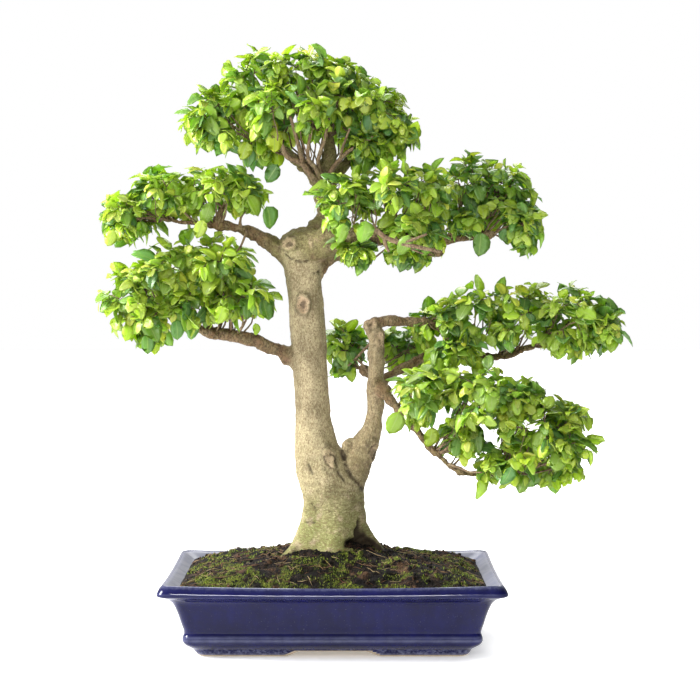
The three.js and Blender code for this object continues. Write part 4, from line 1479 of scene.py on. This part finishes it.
@dataclass
class FoliagePad:
    """One pad: boughs fan into its clumps, shoots stand on them, and leaves grow in pairs.

    The leaves are paired down each shoot at pair_step. tip_inset is how far inside the clumps'
    half sizes the shoots end, and leaf_limits are the shortest and the longest leaf.
    """

    name: str
    leaf_count: int
    clumps: tuple[Clump, ...]
    strays: tuple[Stray, ...] = ()
    twigs: tuple = ()
    age: float = 0.45
    seed: int = 1
    tip_inset: float = 8
    pair_step: float = 7
    pairs: int = 5
    leaves_each: float = 6.2
    leaf_size: float = 19.5
    leaf_limits: tuple = (8, 31)
    bough_reach: float = 34
    bough_inset: float = 24
    age_spread: float = 0.24

    def boughs(self, limbs: np.ndarray, random: np.random.Generator) -> tuple[np.ndarray, np.ndarray]:
        """The boughs that fan from the limbs into the clumps.

        Each is a quadratic curve from a point of the limb to a point part way out in the clump,
        spreading sideways first, with noise along it.

        Args:
            limbs: Points along the middles of all limbs.
            random: Where the spread comes from.

        Returns:
            Middles, (boughs, 9, 3), and radii, (boughs, 9).
        """
        share = np.linspace(0, 1, 9)
        paths, radii = [], []
        for clump in self.clumps:
            given = (clump.start, clump.middle, clump.half)
            start, middle, half = (np.array(part, float) for part in given)
            way = spread_directions(clump.boughs, -0.5, random)
            room = np.maximum(half - self.bough_inset, 8)
            ends = middle + way * room * random.uniform(0.7, 1.0, (clump.boughs, 1))
            wanted = start + 0.3 * (ends - start) * [1, 1, 0]
            near = limbs[np.linalg.norm(limbs - start, axis=1) < self.bough_reach]
            near = near if len(near) else start[None]
            roots = near[np.linalg.norm(wanted[:, None] - near, axis=2).argmin(axis=1)]
            spread = random.uniform(0.25, 0.7, (clump.boughs, 1)) * [1.3, 1.3, 0.6]
            control = roots + spread * (ends - roots) + random.normal(0, 7, ends.shape)
            path = quadratic(roots, control, ends, len(share))
            jitter = np.stack([lattice_noise(path, 15, self.seed + axis) for axis in range(3)], axis=-1)
            paths.append(path + jitter * 5.5 * np.sin(share * math.pi)[:, None])
            radii.append(random.uniform(0.9, 1.8, (clump.boughs, 1)) * (1 - 0.6 * share))
        return np.concatenate(paths), np.concatenate(radii)

    def shoots(self, boughs: np.ndarray, random: np.random.Generator) -> np.ndarray:
        """The shoots that carry the leaves, from the boughs out to the clumps' surface.

        A tip lies on a clump's ball less the inset, unless another clump covers it. The shoot is
        the quadratic curve to it from the nearest outer point of a bough, bowed upwards.

        Args:
            boughs: The boughs' middles.
            random: Where the spread comes from.

        Returns:
            Middles, (shoots, 5, 3).
        """
        tips = []
        for clump in self.clumps:
            way = spread_directions(self.leaf_count, -0.9, random)
            reach = random.uniform(0.35, 1.06, (len(way), 1)) ** 0.6
            tips.append(np.array(clump.middle) + way * (np.array(clump.half) - self.tip_inset) * reach)
        tips = np.concatenate(tips)
        depth = np.stack([clump.inside(tips, self.tip_inset) for clump in self.clumps]).min(axis=0)
        tips = random.permutation(tips[depth > 0.55])[: int(self.leaf_count / self.leaves_each)]
        outer = boughs[:, 3:].reshape(-1, 3)
        nearest = np.linalg.norm(tips[:, None] - outer, axis=2)
        roots = outer[(nearest + random.uniform(0, 9, nearest.shape)).argmin(axis=1)]
        length = np.linalg.norm(tips - roots, axis=1)[:, None]
        control = (roots + tips) / 2 + length * (0.16 * UP + random.normal(0, 0.1, tips.shape))
        return quadratic(roots, control, tips, 5)

    def leaves(self, shoots: np.ndarray, random: np.random.Generator) -> Leaves:
        """Opposite pairs of leaves down each shoot from its tip.

        A leaf points out of its shoot to one side, with some of the shoot's own way, of the way
        out of the pad and of the way down. Its face looks up and out of the pad, and it is older
        further down the shoot and deeper in the pad. Older leaves are darker, so deep in the pad this
        is partly painted shade.

        Args:
            shoots: The shoots' middles.
            random: Where the spread comes from.

        Returns:
            The leaves, two for each pair that has room on its shoot.
        """
        count, stations = shoots.shape[:2]
        length = np.linalg.norm(np.diff(shoots, axis=1), axis=2).sum(axis=1)
        middles = np.array([clump.middle for clump in self.clumps], float)
        halves = np.array([clump.half for clump in self.clumps], float)
        centre, rows, batches = middles.mean(axis=0), np.arange(count), []
        for pair in range(self.pairs):
            share = 1 - (0.2 + pair * self.pair_step * random.uniform(0.85, 1.15, count)) / length
            valid = share > 0.12
            station = np.clip(share, 0, 1) * (stations - 1)
            low = np.minimum(station.astype(int), stations - 2)
            part = (station - low)[:, None]
            root = shoots[rows, low] * (1 - part) + shoots[rows, low + 1] * part
            forward = unit(shoots[rows, low + 1] - shoots[rows, low])
            inside = np.stack([clump.inside(root, 0) for clump in self.clumps])
            own, depth = inside.argmin(axis=0), inside.min(axis=0)
            out = unit(0.8 * unit((root - middles[own]) / halves[own]) + 0.2 * unit(root - centre))
            level = unit(np.cross(forward, UP) + 1e-3)
            turn = ((pair % 2) * 1.1 + random.normal(0, 0.35, count))[:, None]
            side = level * np.cos(turn) + np.cross(level, forward) * np.sin(turn)
            for sign in (1, -1):
                droop = random.uniform(0.0, 0.8, (count, 1)) * (1 - 0.35 * out[:, 2:3])
                along = (0.95 * sign * side + (0.5 + 0.35 * (pair == 0)) * forward + 0.3 * out
                         - droop * UP + random.normal(0, 0.28, (count, 3)))
                face = UP + 0.36 * out + random.normal(0, 0.4, (count, 3))
                size = random.lognormal(0, 0.22, count) * (0.72 if pair == 0 else 1.0)
                # Older, so darker, deeper in the pad: partly painted shade inside the pad.
                age = self.age + 0.13 * (pair - 1.8) + 0.9 * (0.82 - depth) + 0.4 * (size - 0.9)
                age += random.normal(0, self.age_spread, count)
                batches.append(Leaves(
                    root[valid], unit(along)[valid], unit(face)[valid],
                    np.clip(self.leaf_size * size, *self.leaf_limits)[valid], np.clip(age, 0, 1)[valid]))
        return Leaves.join(batches)

    def placed_twigs(self) -> list[Shape]:
        """The twigs that show between the pads, each along a given run of X, Y, Z and radius."""
        runs = [smooth_run(rows, 4.0) for rows in self.twigs]
        return [tubes(run[None, :, :3], run[None, :, 3], 6) for run in runs]

    def stray_leaves(self) -> list[Leaves]:
        """The single leaves that hang down, each with its face to the front and up."""
        return [Leaves(
            np.array([stray.place], float), unit(np.array([[stray.lean, -0.15, -1.0]])),
            unit(np.array([[0.35, -0.85, 0.45]])), np.array([stray.length]),
            np.array([stray.vigour.value])) for stray in self.strays]

    def build(self, limbs: np.ndarray, bark: bpy.types.Material, leaf: bpy.types.Material) -> None:
        """Makes the pad's twigs and leaves.

        Args:
            limbs: Points along the middles of all limbs.
            bark: The twigs' material.
            leaf: The leaves' material.
        """
        random = np.random.default_rng(self.seed)
        boughs, thick = self.boughs(limbs, random)
        shoots = self.shoots(boughs, random)
        thin = random.uniform(0.7, 1.2, (len(shoots), 1)) * (1 - 0.62 * np.linspace(0, 1, 5))
        twigs = Shape.join([tubes(boughs, thick, 6), tubes(shoots, thin, 3), *self.placed_twigs()])
        twigs.tint = np.tile([0.0, 0.72, 0.0, 0.0], (len(twigs.points), 1))
        settle(twigs.build(f"twigs_{self.name}", bark), Slot.BARK)
        leaves = Leaves.join([self.leaves(shoots, random), *self.stray_leaves()])
        shape = Blade().shape(leaves, random)
        settle(shape.build(f"leaves_{self.name}", leaf), Slot.LEAF, f"foliage_{self.name}")
        LOG.info("%s: %d shoots, %d leaves", self.name, len(shoots), len(leaves.age))


PADS = (
    FoliagePad("crown", 2700, (
        Clump((-133, 0, 633), (51, 88, 51), (-66, -8, 600)),
        Clump((-87, 14, 668), (60, 92, 55), (-66, -8, 600)),
        Clump((-30, 8, 673), (61, 92, 52), (-5, 3, 612)),
        Clump((9, 4, 667), (50, 84, 48), (-5, 3, 612)),
        Clump((35, 0, 648), (58, 88, 50), (28, 6, 597)),
        Clump((71, -4, 621), (38, 62, 38), (28, 6, 597), 5),
        Clump((-44, -52, 643), (71, 72, 43), (-28, -8, 568)),
        Clump((-27, 58, 643), (80, 66, 50), (-12, 2, 566)),
        Clump((-84, -6, 600), (29, 34, 18), (-45, -12, 583), 3),
        Clump((38, -34, 601), (32, 40, 22), (14, 5, 579), 3),
    ), strays=(
        Stray((-100, -40, 598), 25, Vigour.OLD), Stray((62, -40, 592), 20, Vigour.GROWN, 0.3),
        Stray((-101, -50, 604), 24, Vigour.GROWN, -0.3), Stray((-70, -50, 618), 28, Vigour.GROWN, 0.1),
    ), twigs=(
        ((-14, -8, 556, 4.5), (-24, -20, 562, 4.4), (-37, -26, 579, 3.8), (-55, -30, 587, 3.2),
         (-61, -40, 600, 2.6), (-73, -52, 610, 2)),
        ((-37, -26, 579, 3.6), (-39, -32, 592, 3), (-45, -50, 614, 2.4), (-50, -60, 632, 1.8)),
        ((-16, -12, 558, 3.8), (-20, -24, 572, 3.2), (-30, -32, 586, 2.6), (-27, -55, 611, 1.9)),
        ((-12, -12, 562, 3.6), (-18, -25, 581, 2.8), (-10, -48, 606, 2.2), (-5, -58, 630, 1.6)),
        ((-6, -12, 560, 3.6), (0, -25, 574, 3), (17, -44, 591, 2.5), (31, -52, 599, 2), (47, -60, 608, 1.6)),
        ((8, -34, 582, 2.2), (12, -48, 598, 1.8), (20, -60, 618, 1.4)),
    ), seed=11),
    FoliagePad("left_upper", 880, (
        Clump((-248, 0, 515), (38, 60, 36), (-205, 1, 518)),
        Clump((-211, 8, 544), (47, 72, 37), (-186, 2, 511)),
        Clump((-148, 4, 549), (48, 66, 36), (-138, 0, 508)),
        Clump((-106, -6, 545), (27, 38, 25), (-113, 0, 504), 4),
    ), strays=(
        Stray((-102, -40, 541), 28, Vigour.FIRM, 0.9), Stray((-80, -36, 528), 27, Vigour.OLD, 0.5),
        Stray((-66, -30, 578), 26, Vigour.OLD, -0.6), Stray((-146, -38, 533), 28, Vigour.FIRM, -0.25),
        Stray((-156, -36, 512), 24, Vigour.YOUNG, -0.2), Stray((-262, -30, 500), 22, Vigour.YOUNG, -0.4),
    ), twigs=(
        ((-203, 1, 513, 2.0), (-222, -4, 519, 1.6), (-241, -10, 522, 1.2), (-257, -14, 513, 1.0),
         (-268, -16, 503, 0.7)),
        ((-168, 0, 510, 1.8), (-178, -8, 519, 1.4), (-186, -14, 531, 1.0)),
        ((-104, -6, 500, 2.0), (-107, -14, 491, 1.5), (-114, -22, 476, 1.2), (-130, -30, 464, 0.9)),
        ((-134, -2, 526, 1.9), (-142, -8, 534, 1.4), (-152, -14, 540, 1.0)),
    # A lower age gives this pad a lighter green: painted light from the lamp on the left.
    ), age=0.37, seed=21),
    FoliagePad("left_lower", 1520, (
        Clump((-237, 0, 416), (49, 78, 49), (-196, -3, 388)),
        Clump((-207, 14, 451), (60, 88, 46), (-180, -4, 381)),
        Clump((-141, 6, 458), (52, 80, 40), (-148, -4, 377)),
        Clump((-111, -10, 421), (46, 66, 31), (-123, -4, 375)),
        Clump((-222, -18, 391), (28, 46, 35), (-196, -3, 388), 4),
        Clump((-166, -22, 411), (44, 50, 30), (-163, -4, 379), 5),
    ), strays=(
        Stray((-84, -40, 417), 27, Vigour.OLD, 0.2), Stray((-222, -50, 376), 25, Vigour.OLD, 0.2),
        Stray((-188, -46, 393), 25, Vigour.OLD, 0.3), Stray((-94, -30, 388), 15, Vigour.GROWN, 0.3),
        Stray((-169, -40, 393), 25, Vigour.OLD, 0.1), Stray((-130, -60, 410), 24, Vigour.GROWN, -0.2),
    ), twigs=(
        ((-147, -4, 379, 3.0), (-150, -6, 390, 2.3), (-146, -10, 402, 1.7), (-152, -14, 414, 1.2)),
        ((-186, -4, 392, 2.2), (-196, -12, 404, 1.6), (-204, -20, 418, 1.1)),
    # A lower age gives this pad a lighter green: painted light from the lamp on the left.
    ), age=0.37, seed=31),
    FoliagePad("right_upper_front", 1240, (
        Clump((14, -68, 535), (44, 62, 43), (16, -39, 487)),
        Clump((68, -68, 538), (51, 72, 45), (56, -52, 492)),
        Clump((110, -50, 541), (40, 56, 42), (76, -57, 495)),
        Clump((97, -74, 497), (42, 52, 34), (76, -57, 495), 5),
        Clump((92, -52, 474), (34, 34, 17), (76, -57, 495), 2),
        Clump((28, -46, 474), (25, 30, 16), (16, -39, 487), 2),
    ), twigs=(
        ((20, 8, 460, 1.9), (34, 2, 459, 1.5), (48, -8, 465, 1.2), (62, -18, 476, 1.0)),
        ((70, -90, 492, 1.8), (86, -112, 478, 1.4), (104, -118, 470, 1.1)),
        ((60, -52, 490, 2.0), (78, -84, 496, 1.5), (96, -116, 486, 1.1)),
        ((34, -84, 508, 2.4), (39, -100, 504, 3), (48, -118, 499, 3.2), (60, -124, 489, 3.3),
         (75, -124, 483, 3.1), (98, -124, 477.5, 2.8), (124, -124, 472, 1.9)),
        ((60, -124, 489, 2.6), (61, -126, 480, 2.2), (65, -127, 472, 1.5)),
        ((80, -124, 482, 2.2), (92, -128, 486, 1.7), (108, -128, 492, 1.2)),
    ), strays=(
        Stray((38, -124, 509), 27, Vigour.FIRM), Stray((88, -128, 492), 26, Vigour.FIRM, -0.3),
        Stray((14, -104, 506), 26, Vigour.FIRM, -0.3), Stray((114, -90, 490), 24, Vigour.FIRM, -0.2),
    ), seed=41),
    FoliagePad("right_upper_back", 900, (
        Clump((158, 22, 556), (44, 62, 48), (131, 15, 488)),
        Clump((202, 24, 543), (48, 68, 49), (167, 15, 493)),
        Clump((230, 12, 505), (29, 52, 37), (196, 15, 495), 5),
        Clump((157, -10, 512), (26, 34, 20), (131, 15, 488), 3),
    ), strays=(Stray((176, -36, 497), 30, Vigour.OLD), Stray((126, -10, 497), 22, Vigour.GROWN)),
        age=0.55, seed=51),
    FoliagePad("right_middle", 1560, (
        Clump((128, 10, 387), (38, 58, 32), (107, 0, 386.5)),
        Clump((171, 8, 399), (53, 74, 42), (165, 38, 346)),
        Clump((230, 6, 399), (53, 84, 43), (199, 30, 344)),
        Clump((284, 0, 396), (50, 84, 44), (246, 11, 359)),
        Clump((326, 0, 385), (31, 58, 34), (246, 11, 359), 4),
        Clump((282, -6, 367), (44, 52, 20), (246, 11, 359), 4),
        Clump((151, -18, 353), (43, 40, 22), (124, 6, 383), 3),
    ), seed=61),
    FoliagePad("right_lower", 1700, (
        Clump((109, -58, 302), (45, 66, 44), (74, -32, 291)),
        Clump((174, -64, 302), (53, 78, 46), (115, -55, 246)),
        Clump((234, -64, 268), (50, 80, 50), (186, -64, 210)),
        Clump((270, -66, 243), (43, 66, 52), (207, -66, 213)),
        Clump((276, -66, 272), (32, 50, 32), (207, -66, 213), 3),
        Clump((216, -62, 224), (53, 62, 34), (186, -64, 210)),
        Clump((153, -60, 255), (32, 44, 28), (137, -60, 224), 3),
        Clump((216, -60, 301), (36, 54, 28), (186, -64, 210), 4),
    ), strays=(
        Stray((78, -84, 286), 30, Vigour.FIRM, -0.35), Stray((116, -90, 268), 25, Vigour.GROWN),
        Stray((172, -84, 206), 25, Vigour.GROWN, 0.3), Stray((206, -130, 226), 26, Vigour.OLD, -0.2),
    ), twigs=(
        ((124, -60, 234, 2.8), (133, -61, 237, 2.8), (141, -62, 245, 2.5), (157, -66, 258, 1.8)),
        ((135, -60, 222, 2.0), (150, -70, 217.4, 1.6), (161, -80, 213.7, 1.2), (175, -88, 214, 0.8)),
        ((114, -56, 243, 1.7), (124, -66, 251, 1.3), (136, -72, 256, 1.1), (146, -78, 264, 0.8)),
        ((160, -62, 211, 1.5), (180, -68, 215, 1.1), (196, -74, 224, 0.8)),
    ), seed=71),
    FoliagePad("centre_back", 520, (
        Clump((15, 84, 354), (31, 46, 38), (36, 50, 329), 4),
        Clump((86, 88, 356), (50, 54, 37), (50, 30, 320)),
    ), twigs=(
        ((18, 44, 333, 1.2), (30, 40, 345, 1.6), (46, 24, 362, 1.8), (54, 4, 366, 1.8)),
        ((10, 60, 352, 0.9), (22, 50, 346, 1.2), (36, 40, 334, 1.5), (44, 20, 322, 1.8)),
    ), age=0.6, seed=81),
)


# Studio


@dataclass(frozen=True)
class Lamp:
    """An area light that looks at the middle of the tree; sizes and places are metres."""

    name: str
    place: tuple[float, float, float]
    size: tuple[float, float]
    watts: float

    def build(self, target: tuple[float, float, float]) -> None:
        """Adds the light, turned so that its face looks at the target."""
        data = bpy.data.lights.new(self.name, "AREA")
        data.shape, data.energy = "RECTANGLE", self.watts
        data.size, data.size_y = self.size
        lamp = bpy.data.objects.new(self.name, data)
        lamp.location = self.place
        aim = np.array(target) - np.array(self.place)
        lamp.rotation_euler = (
            math.atan2(math.hypot(aim[0], aim[1]), -aim[2]), 0, math.atan2(aim[1], aim[0]) - math.pi / 2)
        bpy.context.scene.collection.objects.link(lamp)


@dataclass
class Studio:
    """A white floor, soft light from the front left, white surroundings and the camera.

    The surroundings fall from full strength to front_light over dim_range, along dim_side. The
    floor's glow is near by the pot, beside in the strip to its right that fades in over
    strip_from and out over strip_to, and behind where Y passes behind_range.
    """

    lens: float = 97.66
    sensor: float = 36
    camera_place: tuple = (20.2, -2308, 443)
    pitch: float = 2.2
    target: tuple = (0, 0, 0.4)
    lamps: tuple = (
        Lamp("key", (-2.65, -0.45, 1.65), (1.2, 1.2), 178),
        Lamp("window", (-0.12, -2.4, 1.3), (0.68, 0.14), 19),
        Lamp("back", (0.0, 1.9, 2.1), (1.6, 1.6), 64))
    dim_side: tuple = (0.86, -0.5, 0.0)
    dim_range: tuple = (-0.2, 0.7)
    front_light: float = 0.15
    floor_half: float = 9000
    floor_light: tuple = tone(246, 246, 246)
    floor_dark: tuple = tone(242, 242, 243)
    near: tuple = (0.24, 0.24, 0.24, 1)
    beside: tuple = (0.6, 0.6, 0.6, 1)
    behind: tuple = (0.8, 0.8, 0.8, 1)
    strip_from: tuple = (0.1, 0.15)
    strip_to: tuple = (0.38, 0.26)
    behind_range: tuple = (0.6, 3.0)

    def camera(self) -> None:
        """Places the camera, level but for a small pitch down."""
        data = bpy.data.cameras.new("camera")
        data.lens, data.sensor_width, data.clip_end = self.lens, self.sensor, 50
        camera = bpy.data.objects.new("camera", data)
        camera.location = to_row(np.array(self.camera_place, float))
        camera.rotation_euler = (math.radians(90 - self.pitch), 0, 0)
        bpy.context.scene.collection.objects.link(camera)
        bpy.context.scene.camera = camera

    def surroundings(self) -> None:
        """A white room, which is dimmer in front of the tree than behind and above it."""
        world = bpy.data.worlds.new("white_room")
        world.use_nodes = True
        nodes, links = world.node_tree.nodes, world.node_tree.links
        place = nodes.new("ShaderNodeTexCoord")
        across = nodes.new("ShaderNodeVectorMath")
        across.operation = "DOT_PRODUCT"
        across.inputs[1].default_value = self.dim_side
        dim = nodes.new("ShaderNodeMapRange")
        dim.interpolation_type = "SMOOTHSTEP"
        limits = zip(("From Min", "From Max", "To Min", "To Max"), (*self.dim_range, 1.0, self.front_light))
        for socket, value in limits:
            dim.inputs[socket].default_value = value
        links.new(place.outputs["Generated"], across.inputs[0])
        links.new(across.outputs["Value"], dim.inputs["Value"])
        links.new(dim.outputs[0], nodes["Background"].inputs["Strength"])
        nodes["Background"].inputs["Color"].default_value = (1, 1, 1, 1)
        bpy.context.scene.world = world

    def floor(self) -> None:
        """The white floor, which glows a little so that it stays white where less light falls."""
        tree = Tree("white_floor")
        shade = tree.mix(tree.noise(60, 2), self.floor_light, self.floor_dark)
        x, y = tree.flat(tree.place)
        # Painted light: the strip to the pot's right glows brighter, filling in the pot's shadow there.
        strip = x.over(*self.strip_from) * x.over(*self.strip_to)
        glow = tree.mix(strip, self.near, self.beside)
        glow = tree.mix(y.over(*self.behind_range), glow, self.behind)
        white = tree.finish(tree.principled(
            base_color=shade, roughness=0.8, emission_color=glow, emission_strength=1.0))
        x, y = np.meshgrid(*[np.linspace(-self.floor_half, self.floor_half, 3)] * 2, indexing="ij")
        points = np.stack([x, y, 0 * x], axis=-1).reshape(-1, 3)
        quads = np.array([[0, 3, 4, 1], [1, 4, 5, 2], [3, 6, 7, 4], [4, 7, 8, 5]])
        Shape(points, [quads]).build("floor", white)

    def build(self) -> None:
        """Makes the floor, the lights and the white surroundings, and shows colours as they are."""
        self.floor()
        for lamp in self.lamps:
            lamp.build(self.target)
        self.surroundings()
        bpy.context.scene.view_settings.view_transform = "Standard"


def main() -> None:
    """Builds the camera, the pot, the soil, the wood, the foliage and the studio, in that order."""
    logging.basicConfig(level=logging.INFO, format="%(message)s")
    studio = Studio()
    studio.camera()
    pot = Pot()
    pot.build()
    Soil(Pot(long_points=100, short_points=60)).build()
    wood = Wood()
    wood.build()
    limbs = np.concatenate([rows[:, :3] for rows in wood.paths().values()])
    bark, leaf = BarkFinish().material(), LeafFinish().material()
    for pad in PADS:
        pad.build(limbs, bark, leaf)
    studio.build()


if __name__ == "__main__":
    main()
